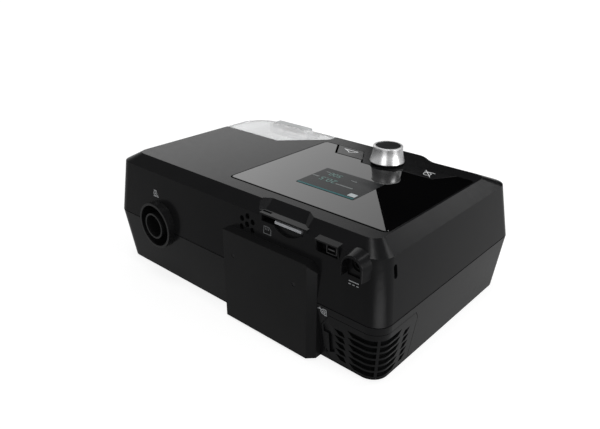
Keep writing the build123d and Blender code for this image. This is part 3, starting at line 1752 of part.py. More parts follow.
chamber_seal.part.label = "chamber_seal"
export_step(chamber_seal.part, "parts/chamber_seal.step")

with BuildPart() as latch_pocket:
    with BuildSketch(Plane.XY.offset(latch_floor_z - stem_length - 2)):
        with Locations((latch_left - 3, latch_rear_y + 3)):
            Rectangle(latch_right - latch_left + 6, latch_rear_y - latch_front_y + 12,
                      align=(Align.MIN, Align.MAX))
    extrude(amount=12)
    add(chamber_outer, mode=Mode.INTERSECT)

with BuildPart() as chamber_lid:
    add(chamber_outer)
    add(chamber_hollow, mode=Mode.SUBTRACT)
    split(bisect_by=Plane.XY.offset(chamber_split_z + gasket_height), keep=Keep.TOP)
    add(latch_pocket.part)
    with BuildSketch(Plane.XY.offset(latch_floor_z)):
        with Locations((latch_left - part_gap, latch_rear_y + part_gap)):
            Rectangle(latch_right - latch_left + 2 * part_gap,
                      latch_rear_y - latch_front_y + 2 * part_gap,
                      align=(Align.MIN, Align.MAX))
    extrude(amount=20, mode=Mode.SUBTRACT)
    with BuildSketch(Plane.XY.offset(latch_floor_z)):
        with Locations(*stem_places):
            Circle(stem_radius + running)
    extrude(amount=-stem_length, mode=Mode.SUBTRACT)
    with BuildSketch(back_plane(chamber_rear_y)):
        with Locations((inlet_x, port_z), (outlet_x, port_z)):
            Circle(spigot_bore)
    extrude(amount=chamber_wall, mode=Mode.SUBTRACT)

chamber_lid.part.label = "chamber_lid"
export_step(chamber_lid.part, "parts/chamber_lid.step")

with BuildPart() as chamber_latch:
    with BuildSketch(Plane.XY.offset(latch_low_z)):
        with Locations((latch_left, latch_rear_y)):
            Rectangle(latch_right - latch_left, latch_rear_y - latch_front_y,
                      align=(Align.MIN, Align.MAX))
    extrude(amount=top_z - latch_low_z)
    fillet(chamber_latch.faces().sort_by(Axis.Z)[-1].edges(), radius=0.8)
    with BuildSketch(Plane.XY.offset(latch_low_z)):
        with Locations(*stem_places):
            Circle(stem_radius)
    extrude(amount=-stem_length)

chamber_latch.part.label = "chamber_latch"
export_step(chamber_latch.part, "parts/chamber_latch.step")

with BuildPart() as latch_springs:
    for x in (latch_middle - spring_offset, latch_middle + spring_offset):
        with BuildSketch(back_plane(stem_y + 2)):
            with BuildLine():
                l1 = Line((x - spring_half, latch_floor_z), (x, latch_low_z - 0.6))
                l2 = Line(l1 @ 1, (x + spring_half, latch_floor_z))
                l3 = Line(l2 @ 1, (x + spring_half - 0.5, latch_floor_z))
                l4 = Line(l3 @ 1, (x, latch_low_z - 0.9))
                l5 = Line(l4 @ 1, (x - spring_half + 0.5, latch_floor_z))
                Line(l5 @ 1, l1 @ 0)
            make_face()
        extrude(amount=4)

latch_springs.part.label = "latch_springs"
export_step(latch_springs.part, "parts/latch_springs.step")
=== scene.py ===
import json
from math import atan2, radians

import bpy
from mathutils import Matrix, Vector


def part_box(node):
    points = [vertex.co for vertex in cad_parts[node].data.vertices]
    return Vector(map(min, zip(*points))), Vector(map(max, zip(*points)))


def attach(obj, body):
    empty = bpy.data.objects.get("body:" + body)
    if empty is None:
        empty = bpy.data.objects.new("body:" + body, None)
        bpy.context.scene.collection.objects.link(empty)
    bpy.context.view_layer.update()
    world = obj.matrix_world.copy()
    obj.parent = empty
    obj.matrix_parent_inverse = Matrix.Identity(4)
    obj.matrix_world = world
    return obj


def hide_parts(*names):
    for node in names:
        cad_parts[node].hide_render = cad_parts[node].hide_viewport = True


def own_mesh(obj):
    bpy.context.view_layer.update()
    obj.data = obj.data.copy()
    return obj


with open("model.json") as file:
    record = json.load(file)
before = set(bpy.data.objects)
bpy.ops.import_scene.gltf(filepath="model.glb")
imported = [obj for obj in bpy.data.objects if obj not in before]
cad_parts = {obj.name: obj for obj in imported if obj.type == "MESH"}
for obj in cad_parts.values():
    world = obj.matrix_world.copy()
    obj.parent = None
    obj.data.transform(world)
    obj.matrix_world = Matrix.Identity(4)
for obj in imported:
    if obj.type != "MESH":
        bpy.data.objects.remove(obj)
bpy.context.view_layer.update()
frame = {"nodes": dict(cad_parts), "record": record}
nodes = frame["nodes"]
mm = 0.001
bpy.ops.object.select_all(action="DESELECT")
print("frame loaded,", len(nodes), "nodes")

# camera

cameraSet = {
    "place": (-299.1 * mm, 345.9 * mm, 264.1 * mm),
    "turn": radians(-48.83 - 90),
    "tilt": radians(90 - 24.912),
    "roll": radians(0.436),
    "lens": 35.534,
    "sensor": 36,
    "shift": (-0.0028, 0.0007),
    "nearest": 10 * mm,
}

bpy.ops.object.camera_add(location=cameraSet["place"])
camera = bpy.context.object
camera.name = "studioCamera"
camera.rotation_euler = (cameraSet["tilt"], 0, cameraSet["turn"])
camera.rotation_euler.rotate_axis("Z", cameraSet["roll"])
camera.data.sensor_fit = "HORIZONTAL"
camera.data.sensor_width = cameraSet["sensor"]
camera.data.lens = cameraSet["lens"]
camera.data.shift_x, camera.data.shift_y = cameraSet["shift"]
camera.data.clip_start = cameraSet["nearest"]
bpy.context.scene.camera = camera
bpy.context.scene.view_settings.view_transform = "Standard"
print("camera set")

# helpers for shader nodes


def newTree(name):
    paint = bpy.data.materials.new(name)
    paint.use_nodes = True
    tree = paint.node_tree
    return paint, tree, tree.nodes["Principled BSDF"]


def feed(tree, socket, value):
    # a plain number is set on the socket, anything else is linked to it
    if isinstance(value, (int, float)):
        socket.default_value = value
    else:
        tree.links.new(value, socket)


def mathOf(tree, operation, first, second):
    node = tree.nodes.new("ShaderNodeMath")
    node.operation = operation
    feed(tree, node.inputs[0], first)
    feed(tree, node.inputs[1], second)
    return node.outputs[0]


def rampOf(tree, value, gives, across=(0.3, 0.7)):
    # goes from one end of gives to the other as the value crosses the span, and is held
    # at the ends; most of a noise lies between 0.3 and 0.7
    span = tree.nodes.new("ShaderNodeMapRange")
    for socket, number in zip(("From Min", "From Max", "To Min", "To Max"), (*across, *gives)):
        span.inputs[socket].default_value = number
    tree.links.new(value, span.inputs["Value"])
    return span.outputs["Result"]


def placeOn(tree):
    return tree.nodes.new("ShaderNodeTexCoord").outputs["Object"]


def axisOf(tree, vector, axis):
    split = tree.nodes.new("ShaderNodeSeparateXYZ")
    tree.links.new(vector, split.inputs[0])
    return split.outputs[axis]


def farFrom(tree, vector, point):
    away = tree.nodes.new("ShaderNodeVectorMath")
    away.operation = "DISTANCE"
    away.inputs[1].default_value = point
    tree.links.new(vector, away.inputs[0])
    return away.outputs["Value"]


def rayMask(tree, diffuse, glossy):
    # 1 for the camera and through clear pieces, the glossy strength for mirrored rays, and
    # for every ray at least the diffuse one
    path = tree.nodes.new("ShaderNodeLightPath")
    seen = mathOf(tree, "MAXIMUM", path.outputs["Is Camera Ray"],
                  path.outputs["Is Transmission Ray"])
    gloss = mathOf(tree, "MULTIPLY", path.outputs["Is Glossy Ray"], glossy)
    return mathOf(tree, "MAXIMUM", mathOf(tree, "MAXIMUM", seen, gloss), diffuse)


def glowingTree(name):
    paint, tree = newTree(name)[:2]
    tree.nodes.clear()
    return paint, tree


def setGlow(tree, strength, matt=None):
    # light of its own, added to a matt shader where there is one
    glow = tree.nodes.new("ShaderNodeEmission")
    tree.links.new(strength, glow.inputs["Strength"])
    surface = glow
    if matt:
        surface = tree.nodes.new("ShaderNodeAddShader")
        tree.links.new(matt.outputs[0], surface.inputs[0])
        tree.links.new(glow.outputs[0], surface.inputs[1])
    out = tree.nodes.new("ShaderNodeOutputMaterial")
    tree.links.new(surface.outputs[0], out.inputs["Surface"])


# sky, with its height and side measured on a ball of radius 1; a mirrored ray sees the
# brighter of soft and gloss

skySet = {
    "soft": {"across": (0.0, 0.6), "gives": (0.75, 0.16)},          # upwards
    "gloss": {"across": (0.05, 0.4), "gives": (1.05, 0.04)},        # upwards
    "glossAside": {"across": (-1.0, 0.3), "gives": (1, 0.25)},      # share of it, towards +X
}

world = bpy.data.worlds.new("softRoom")
world.use_nodes = True
bpy.context.scene.world = world
sky = world.node_tree
skyPlace = sky.nodes.new("ShaderNodeTexCoord").outputs["Generated"]
skyHeight = axisOf(sky, skyPlace, "Z")
skyGloss = mathOf(sky, "MULTIPLY", rampOf(sky, skyHeight, **skySet["gloss"]),
                  rampOf(sky, axisOf(sky, skyPlace, "X"), **skySet["glossAside"]))
skySoft = rampOf(sky, skyHeight, **skySet["soft"])
background = sky.nodes["Background"]
background.inputs["Color"].default_value = (1, 1, 1, 1)
sky.links.new(rayMask(sky, skySoft, skyGloss), background.inputs["Strength"])

# floor, in metres

floorSet = {
    "size": 30,
    "colour": 0.3,
    "lift": 0.85,                   # its own glow, near the machine
    "farLift": 1.0,                 # and far away, where the lamps fade, so that it stays white
    "farReach": (0.8, 2.2),
    "gloss": (0.36, 0.23),          # glow for glossy rays, beside the machine and behind it
    "glossReach": (0.0, 0.16),      # along Y
    "patch": {"middle": (-0.31, 0.2, 0), "reach": 0.14, "core": 0.35, "glow": 4.6},
}

bpy.ops.mesh.primitive_plane_add(size=floorSet["size"], location=(0, 0, 0))
floor = bpy.context.object
floor.name = "studioFloor"
floorPaint, tree = glowingTree("floorPaint")
matt = tree.nodes.new("ShaderNodeBsdfDiffuse")
matt.inputs["Color"].default_value = (*[floorSet["colour"]] * 3, 1)
floorPlace = placeOn(tree)
farLift = rampOf(tree, farFrom(tree, floorPlace, (0, 0, 0)),
                 (floorSet["lift"], floorSet["farLift"]), floorSet["farReach"])
patchSet = floorSet["patch"]
patchGloss = rampOf(tree, farFrom(tree, floorPlace, patchSet["middle"]),
                    (patchSet["glow"] / floorSet["lift"], 0),
                    (patchSet["core"] * patchSet["reach"], patchSet["reach"]))
restGloss = rampOf(tree, axisOf(tree, floorPlace, "Y"),
                   [glow / floorSet["lift"] for glow in floorSet["gloss"]],
                   floorSet["glossReach"])
floorMask = rayMask(tree, 0, mathOf(tree, "ADD", patchGloss, restGloss))
setGlow(tree, mathOf(tree, "MULTIPLY", floorMask, farLift), matt)
floor.data.materials.append(floorPaint)

# lamps, in metres

lampAim = (0, 0, 0.05)
lamps = {
    "sideLamp": {"place": (-3.2, -0.3, 1.0), "size": 1.8, "watts": 56},
    "rearLamp": {"place": (-0.6, 2.9, 0.7), "size": 1.6, "watts": 15},
    "bandLamp": {"place": (-0.45, -2.3, 1.62), "size": 0.7, "watts": 3.4},
    "topLamp": {"place": (0.04, 0.2, 1.6), "size": 0.5, "watts": 5.6},
    "shoulderLamp": {"place": (-0.68, -0.98, 1.55), "size": 0.5, "watts": 4.6},
}

for name, lampSet in lamps.items():
    bpy.ops.object.light_add(type="AREA", location=lampSet["place"])
    lamp = bpy.context.object
    lamp.name = name
    lamp.data.shape = "SQUARE"
    lamp.data.size = lampSet["size"]
    lamp.data.energy = lampSet["watts"]
    toAim = Vector(lampAim) - Vector(lampSet["place"])
    lamp.rotation_euler = toAim.to_track_quat("-Z", "Y").to_euler()

# a big bright card in front of the machine, its slanted edge mirrored in the gloss panel,
# and a black one beside it

cardSet = {
    "edge": ((2.370, -3.5, 1.481), (2.105, -3.5, 2.194)),   # two points on the slanted edge
    "size": (6.0, 4.6),
    "glow": (0.95, 1.36, 1.8),      # at the edge, after the first stretch, and from fullFrom on
    "firstStretch": 1.4,
    "start": -0.5,                  # the card's own X runs from -0.5 to 0.5
    "fullFrom": 0.1,
    "forDiffuse": 0.75,             # share of its glow for rays that aren't mirrored
}
flagSet = {"size": (4.0, 5.0), "rise": 1.0}

low, high = (Vector(p) for p in cardSet["edge"])
up = (high - low).normalized()
across = Vector((0, -1, 0)).cross(up).normalized()
across = across if across.x > 0 else -across
cardTurn = Matrix((across, up, across.cross(up))).transposed().to_euler()
edgeMiddle = (low + high) / 2


def stageCard(name, middle, size, paint):
    bpy.ops.mesh.primitive_plane_add(size=1, location=middle, rotation=cardTurn)
    board = bpy.context.object
    board.name = name
    board.scale = (*size, 1)
    board.data.materials.append(paint)
    board.visible_camera = False
    board.visible_transmission = False
    board.visible_shadow = False
    return board


cardWidth, cardHeight = cardSet["size"]
cardPaint, tree = glowingTree("cardPaint")
alongCard = axisOf(tree, placeOn(tree), "X")
cardNear, cardFar, cardEnd = cardSet["glow"]
cardStep = cardSet["start"] + cardSet["firstStretch"] / cardWidth
cardGlow = mathOf(
    tree, "ADD",
    rampOf(tree, alongCard, (cardNear, cardFar), (cardSet["start"], cardStep)),
    rampOf(tree, alongCard, (0, cardEnd - cardFar), (cardStep, cardSet["fullFrom"])),
)
onlyGloss = tree.nodes.new("ShaderNodeLightPath").outputs["Is Glossy Ray"]
cardShare = rampOf(tree, onlyGloss, (cardSet["forDiffuse"], 1), (0, 1))
setGlow(tree, mathOf(tree, "MULTIPLY", cardGlow, cardShare))
stageCard("brightCard", edgeMiddle + across * cardWidth / 2 + up * cardHeight / 4,
          cardSet["size"], cardPaint)

flagPaint, tree, shader = newTree("flagPaint")
shader.inputs["Base Color"].default_value = (0, 0, 0, 1)
shader.inputs["Specular IOR Level"].default_value = 0
flagWidth = flagSet["size"][0]
flag = stageCard("blackFlag", edgeMiddle - across * flagWidth / 2 + up * flagSet["rise"],
                 flagSet["size"], flagPaint)
flag.visible_diffuse = False
print("stage and lamps set")

# materials; noise scales are waves per metre, bump depths are mm


def shade(colour, share):
    return [c * share for c in colour]


def noiseOn(tree, scale, detail=2.0, stretch=(1, 1, 1), roughness=0.5):
    place = tree.nodes.new("ShaderNodeMapping")
    place.inputs["Scale"].default_value = stretch
    noise = tree.nodes.new("ShaderNodeTexNoise")
    noise.inputs["Scale"].default_value = scale
    noise.inputs["Detail"].default_value = detail
    noise.inputs["Roughness"].default_value = roughness
    tree.links.new(placeOn(tree), place.inputs["Vector"])
    tree.links.new(place.outputs["Vector"], noise.inputs["Vector"])
    return noise.outputs["Fac"]


def tintBy(tree, value, dark, light):
    mix = tree.nodes.new("ShaderNodeMix")
    mix.data_type = "RGBA"
    mix.inputs["A"].default_value = (*dark, 1)
    mix.inputs["B"].default_value = (*light, 1)
    tree.links.new(value, mix.inputs["Factor"])
    return mix.outputs["Result"]


def colourBy(tree, shader, value, dark, light):
    tree.links.new(tintBy(tree, value, dark, light), shader.inputs["Base Color"])


def roughBy(tree, shader, noise, least, most):
    tree.links.new(rampOf(tree, noise, (least, most)), shader.inputs["Roughness"])


def bumpBy(tree, shader, value, depth):
    bump = tree.nodes.new("ShaderNodeBump")
    bump.inputs["Distance"].default_value = depth * mm
    tree.links.new(value, bump.inputs["Height"])
    tree.links.new(bump.outputs["Normal"], shader.inputs["Normal"])


mouldedSet = {"cloudScale": 38, "rubScale": 160, "rub": 0.02}


def mouldedPlastic(name, colour, roughness, specular=0.3, grain=1400, grainDepth=0.012,
                   cloud=0.12, glow=0.0):
    paint, tree, shader = newTree(name)
    clouds = rampOf(tree, noiseOn(tree, mouldedSet["cloudScale"], detail=4), (0, 1))
    colourBy(tree, shader, clouds, shade(colour, 1 - cloud), shade(colour, 1 + cloud))
    rubbed = noiseOn(tree, mouldedSet["rubScale"], detail=3)
    roughBy(tree, shader, rubbed, roughness - mouldedSet["rub"], roughness + mouldedSet["rub"])
    shader.inputs["Specular IOR Level"].default_value = specular
    if glow:
        shader.inputs["Emission Color"].default_value = (*colour, 1)
        shader.inputs["Emission Strength"].default_value = glow
    bumpBy(tree, shader, noiseOn(tree, grain, detail=1), grainDepth)
    return paint


glossSet = {
    "smearScale": 45, "smearStretch": (1, 2.2, 1), "smear": (0.6, 1.5),
    "tintScale": 12, "tint": 1.3, "waveScale": 22, "wave": 0.004,
}


def glossPanel(name, colour, roughness, specular=0.5):
    paint, tree, shader = newTree(name)
    smears = noiseOn(tree, glossSet["smearScale"], detail=5, stretch=glossSet["smearStretch"])
    roughBy(tree, shader, smears, *[roughness * share for share in glossSet["smear"]])
    tints = rampOf(tree, noiseOn(tree, glossSet["tintScale"]), (0, 1))
    colourBy(tree, shader, tints, colour, shade(colour, glossSet["tint"]))
    shader.inputs["Specular IOR Level"].default_value = specular
    bumpBy(tree, shader, noiseOn(tree, glossSet["waveScale"]), glossSet["wave"])
    return paint


metalSet = {"brushScale": 900, "brush": (-0.05, 0.06), "tintScale": 60, "tint": 0.94}


def satinMetal(name, colour, roughness, brush=(1, 1, 1), depth=0.004, metallic=1.0):
    paint, tree, shader = newTree(name)
    shader.inputs["Metallic"].default_value = metallic
    lines = noiseOn(tree, metalSet["brushScale"], stretch=brush)
    roughBy(tree, shader, lines, *[roughness + change for change in metalSet["brush"]])
    tints = rampOf(tree, noiseOn(tree, metalSet["tintScale"], detail=3), (0, 1))
    colourBy(tree, shader, tints, shade(colour, metalSet["tint"]), colour)
    bumpBy(tree, shader, lines, depth)
    return paint


clearSet = {
    "ior": 1.45, "specular": 0.3,
    "hazeScale": 90, "haze": (0.5, 1.6),
    "bandLeft": (0.0600, 0.0615), "bandRight": (0.0995, 0.1010),    # along X, in metres
    "waveScale": 30, "wave": 0.01,
}


def clearMoulding(name, colour, roughness, band=1.0, clear=1.0):
    paint, tree, shader = newTree(name)
    shader.inputs["Transmission Weight"].default_value = clear
    shader.inputs["IOR"].default_value = clearSet["ior"]
    shader.inputs["Specular IOR Level"].default_value = clearSet["specular"]
    haze = noiseOn(tree, clearSet["hazeScale"], detail=3)
    roughBy(tree, shader, haze, *[roughness * share for share in clearSet["haze"]])
    # a band across the middle of the lid is a little greyer
    alongX = axisOf(tree, placeOn(tree), "X")
    inBand = mathOf(tree, "MULTIPLY", rampOf(tree, alongX, (0, 1), clearSet["bandLeft"]),
                    rampOf(tree, alongX, (1, 0), clearSet["bandRight"]))
    colourBy(tree, shader, inBand, colour, shade(colour, band))
    bumpBy(tree, shader, noiseOn(tree, clearSet["waveScale"]), clearSet["wave"])
    return paint


padSet = {"roughness": 0.95, "specular": 0.03, "deep": 0.55}


def feltedPad(name, colour, scale=900, depth=0.25):
    paint, tree, shader = newTree(name)
    fibres = noiseOn(tree, scale, detail=6, roughness=0.7)
    colourBy(tree, shader, rampOf(tree, fibres, (0, 1)), shade(colour, padSet["deep"]), colour)
    shader.inputs["Roughness"].default_value = padSet["roughness"]
    shader.inputs["Specular IOR Level"].default_value = padSet["specular"]
    bumpBy(tree, shader, fibres, depth)
    return paint


boardSet = {"trackScale": 320, "track": (0.2, 0.6), "light": 1.8, "roughness": 0.35, "rise": 0.02}


def circuitBoard(name, colour):
    paint, tree, shader = newTree(name)
    cells = tree.nodes.new("ShaderNodeTexVoronoi")
    cells.distance = "CHEBYCHEV"
    cells.inputs["Scale"].default_value = boardSet["trackScale"]
    tree.links.new(placeOn(tree), cells.inputs["Vector"])
    tracks = rampOf(tree, cells.outputs["Distance"], (0, 1), boardSet["track"])
    colourBy(tree, shader, tracks, colour, shade(colour, boardSet["light"]))
    shader.inputs["Roughness"].default_value = boardSet["roughness"]
    bumpBy(tree, shader, tracks, boardSet["rise"])
    return paint


screenLight = {"pixelScale": 700, "dim": 0.85, "roughness": 0.3, "specular": 0.08}


def litPaint(name, colour, glow):
    paint, tree, shader = newTree(name)
    pixels = rampOf(tree, noiseOn(tree, screenLight["pixelScale"], detail=1), (0, 1))
    lit = tintBy(tree, pixels, shade(colour, screenLight["dim"]), colour)
    tree.links.new(lit, shader.inputs["Base Color"])
    tree.links.new(lit, shader.inputs["Emission Color"])
    shader.inputs["Emission Strength"].default_value = glow
    shader.inputs["Roughness"].default_value = screenLight["roughness"]
    shader.inputs["Specular IOR Level"].default_value = screenLight["specular"]
    return paint


shellLook = {"colour": (0.0092, 0.0093, 0.0098), "roughness": 0.2, "specular": 0.088,
             "grainDepth": 0.004, "cloud": 0.06}
finishes = {
    "case_plastic": mouldedPlastic("casePlastic", **shellLook),
    "lens_gloss": glossPanel("lensGloss", (0.0022, 0.0022, 0.0024), 0.015, specular=0.8),
    "knob_silver": satinMetal("knobSilver", (0.68, 0.68, 0.685), 0.28, brush=(1, 1, 8),
                              depth=0.002),
    "cap_grey": mouldedPlastic("capGrey", (0.0085, 0.0085, 0.0089), 0.45, specular=0.06,
                               grainDepth=0.004),
    "key_gloss": mouldedPlastic("keyPlastic", (0.0105, 0.0105, 0.011), 0.18, specular=0.22,
                                grainDepth=0.003),
    "outlet_plastic": mouldedPlastic("outletPlastic", (0.012, 0.012, 0.0125), 0.28,
                                     specular=0.2),
    "card_plastic": mouldedPlastic("cardPlastic", (0.5, 0.51, 0.53), 0.4, grainDepth=0.01),
    "steel": satinMetal("steelParts", (0.6, 0.6, 0.61), 0.28),
    "jack_plastic": mouldedPlastic("jackPlastic", (0.008, 0.008, 0.008), 0.4, specular=0.15),
    "module_plastic": mouldedPlastic("modulePlastic", (0.0105, 0.0106, 0.011), 0.32,
                                     specular=0.1, grainDepth=0.005, cloud=0.06),
    "cover_plastic": mouldedPlastic("coverPlastic", **shellLook),
    "clear_plastic": clearMoulding("clearPlastic", (0.89, 0.895, 0.9), 0.05, band=0.92,
                                   clear=0.82),
    "tub_plastic": clearMoulding("tubPlastic", (0.93, 0.945, 0.955), 0.05),
    "latch_plastic": mouldedPlastic("latchPlastic", (0.5, 0.515, 0.52), 0.35, grainDepth=0.006),
    "screen_glass": glossPanel("screenGlass", (0.008, 0.009, 0.010), 0.12, specular=0.08),
    "board_green": circuitBoard("boardGreen", (0.015, 0.11, 0.035)),
    "ribbon_plastic": mouldedPlastic("ribbonFilm", (0.42, 0.25, 0.07), 0.25, grainDepth=0.002),
    "inner_plastic": mouldedPlastic("innerPlastic", (0.2, 0.205, 0.21), 0.45),
    "speaker_metal": satinMetal("speakerMetal", (0.06, 0.06, 0.06), 0.45),
    # the filter pad is near black: partly dark foam, partly painted shade for the slots behind
    # the louvres
    "filter_foam": feltedPad("filterPad", (0.005, 0.0051, 0.0054)),
    "motor_metal": satinMetal("motorMetal", (0.3, 0.3, 0.31), 0.35),
    "soft_rubber": mouldedPlastic("softRubber", (0.02, 0.02, 0.02), 0.7, specular=0.15,
                                  grain=900),
    "dark_foam": feltedPad("mufflerFoam", (0.06, 0.06, 0.065), scale=600, depth=0.5),
    "base_metal": satinMetal("basePlate", (0.62, 0.62, 0.63), 0.2, brush=(1, 18, 1)),
    "heater_metal": satinMetal("heaterPlate", (0.58, 0.58, 0.59), 0.3, brush=(1, 14, 1)),
    "insulator": mouldedPlastic("insulatorBoard", (0.5, 0.47, 0.38), 0.85, grainDepth=0.05),
}

# a few small nodes have a darker metal than the rest of their slot
nodeFinishes = {
    "module_screws": satinMetal("blackScrews", (0.035, 0.035, 0.036), 0.5),
    "usb_socket": satinMetal("darkNickel", (0.1, 0.1, 0.102), 0.42),
}

nodeSlots = {p["node"]: p["material_slot"] for p in frame["record"]["subparts"]}
for name, node in nodes.items():
    paint = nodeFinishes.get(name, finishes[nodeSlots[name]])
    if not node.data.materials:
        node.data.materials.append(paint)
    for slot in node.material_slots:
        slot.material = paint
print("materials set on", len(nodes), "nodes")

# helpers for the pieces, whose sizes are mm


def startFrom(nodeName, name, weld):
    # a new piece in edit mode, with a copy of a CAD node's mesh, merged and all selected
    bpy.ops.object.select_all(action="DESELECT")
    bpy.ops.mesh.primitive_plane_add(size=1 * mm)
    piece = bpy.context.object
    piece.name = name
    piece.data = nodes[nodeName].data.copy()
    piece.data.name = name
    bpy.ops.object.mode_set(mode="EDIT")
    bpy.ops.mesh.select_all(action="SELECT")
    bpy.ops.mesh.remove_doubles(threshold=weld * mm)
    return piece


def extrudeUp(rise):
    bpy.ops.mesh.select_all(action="SELECT")
    bpy.ops.mesh.extrude_region_move(TRANSFORM_OT_translate={"value": (0, 0, rise * mm)})


def faceOutwards():
    # for a closed shell; ends in object mode
    bpy.ops.mesh.select_all(action="SELECT")
    bpy.ops.mesh.normals_make_consistent(inside=False)
    bpy.ops.object.mode_set(mode="OBJECT")


def coat(piece, paint):
    piece.data.materials.clear()
    piece.data.materials.append(paint)


# the latch's leaf springs, a bevelled copy of the CAD node that goes with the chamber

leafSet = {"weld": 0.001, "bevel": 0.08}

leaves = startFrom("latch_springs", "latchLeaves", leafSet["weld"])
bpy.ops.mesh.bevel(offset=leafSet["bevel"] * mm, segments=1)
bpy.ops.object.mode_set(mode="OBJECT")
coat(leaves, finishes["steel"])
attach(leaves, "chamber")
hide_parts("latch_springs")
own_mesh(leaves)
print("latch springs set")

# the polished bead round the dial's dark centre

beadSet = {"middle": (-49.7, -45.0, 113.3), "radius": 11.25, "thickness": 0.95, "flatten": 0.85}

bpy.ops.object.select_all(action="DESELECT")
bpy.ops.mesh.primitive_torus_add(
    major_segments=96, minor_segments=14, major_radius=beadSet["radius"] * mm,
    minor_radius=beadSet["thickness"] * mm, location=Vector(beadSet["middle"]) * mm,
)
bead = bpy.context.object
bead.name = "dialBead"
bpy.ops.object.mode_set(mode="EDIT")
bpy.ops.mesh.select_all(action="SELECT")
bpy.ops.transform.resize(value=(1, 1, beadSet["flatten"]))
faceOutwards()
bpy.ops.object.transform_apply()
bpy.ops.object.shade_smooth()
coat(bead, satinMetal("beadSilver", (0.78, 0.78, 0.785), 0.34, metallic=0.5))
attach(bead, "knob")
print("dial bead set")

# printed marks

markSet = {
    "depth": 0.12,          # how far a mark stands off its surface
    "sunk": 0.05,
    "step": 0.004,          # each stroke stands this much over the one before
    "rounding": 0.42,       # of a bar's corners, as a share of its width
    "capital": 0.7,         # height of a numeral, as a share of the letter size
    "weld": 0.001,
}


def barStroke(start, end, width, rounding=markSet["rounding"]):
    start, end = Vector(start), Vector(end)
    run = end - start
    middle = (start + end) / 2
    bpy.ops.mesh.primitive_plane_add(size=1, location=(middle.x * mm, middle.y * mm, 0))
    bar = bpy.context.object
    bar.scale = ((run.length + width) * mm, width * mm, 1)
    bar.rotation_euler.z = atan2(run.y, run.x)
    bpy.ops.object.transform_apply()
    bpy.ops.object.mode_set(mode="EDIT")
    bpy.ops.mesh.select_all(action="SELECT")
    bpy.ops.mesh.bevel(offset=width * rounding * mm, affect="VERTICES", segments=3)
    extrudeUp(markSet["depth"] + markSet["sunk"])
    faceOutwards()
    return bar


def ringStroke(middle, radius, width):
    # a dot where the width is more than the radius
    bpy.ops.mesh.primitive_circle_add(
        vertices=32, radius=(radius + width / 2) * mm, fill_type="NGON",
        location=(middle[0] * mm, middle[1] * mm, 0),
    )
    ring = bpy.context.object
    bpy.ops.object.transform_apply()
    bpy.ops.object.mode_set(mode="EDIT")
    bpy.ops.mesh.select_all(action="SELECT")
    if width < radius:
        bpy.ops.mesh.inset(thickness=width * mm)
        bpy.ops.mesh.delete(type="FACE")
    extrudeUp(markSet["depth"] + markSet["sunk"])
    faceOutwards()
    return ring


def numeralStroke(text, middle, height):
    bpy.ops.object.text_add(location=(0, 0, 0))
    letters = bpy.context.object.data
    letters.body = text
    letters.align_x = "CENTER"
    letters.align_y = "CENTER"
    letters.size = height / markSet["capital"] * mm
    letters.extrude = markSet["depth"] / 2 * mm
    bpy.ops.object.convert(target="MESH")
    figure = bpy.context.object
    figure.location = (middle[0] * mm, middle[1] * mm,
                       (markSet["depth"] / 2 + markSet["sunk"]) * mm)
    bpy.ops.object.transform_apply()
    bpy.ops.object.mode_set(mode="EDIT")
    bpy.ops.mesh.select_all(action="SELECT")
    bpy.ops.mesh.remove_doubles(threshold=markSet["weld"] * mm)
    faceOutwards()
    return figure


def drawSign(sign):
    # rings are middle, radius and width; lines run from point to point
    strokes = [ringStroke(*ring) for ring in sign.get("rings", [])]
    for points in sign["lines"]:
        strokes += [barStroke(*ends, sign["width"]) for ends in zip(points, points[1:])]
    return strokes


def setMark(name, strokes, origin, right, upward, body, slot, paint):
    # strokes are drawn flat, then laid on the surface with their own right and up
    bpy.ops.object.select_all(action="DESELECT")
    for level, stroke in enumerate(strokes):
        stroke.location.z += level * markSet["step"] * mm
        stroke.select_set(True)
    bpy.context.view_layer.objects.active = strokes[0]
    if len(strokes) > 1:
        bpy.ops.object.join()
    mark = bpy.context.object
    mark.name = name
    mark.data.name = name
    right, upward = Vector(right).normalized(), Vector(upward).normalized()
    outward = right.cross(upward)
    place = Matrix((right, upward, outward)).transposed().to_4x4()
    place.translation = Vector(origin) * mm - outward * markSet["sunk"] * mm
    mark.matrix_world = place
    bpy.ops.object.transform_apply()
    coat(mark, paint)
    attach(mark, body)


whiteInk = mouldedPlastic("whiteInk", (0.42, 0.43, 0.44), 0.5, specular=0.1, grainDepth=0.004)
# the keys' print glows a little: painted light that brightens the weakly lit key tops
keyInkPaintedGlow = mouldedPlastic("keyInkPaintedGlow", (0.86, 0.87, 0.88), 0.5, specular=0.1, grainDepth=0.004,
                        glow=0.1)
greyInk = mouldedPlastic("greyInk", (0.16, 0.163, 0.168), 0.5, specular=0.1, grainDepth=0.004)

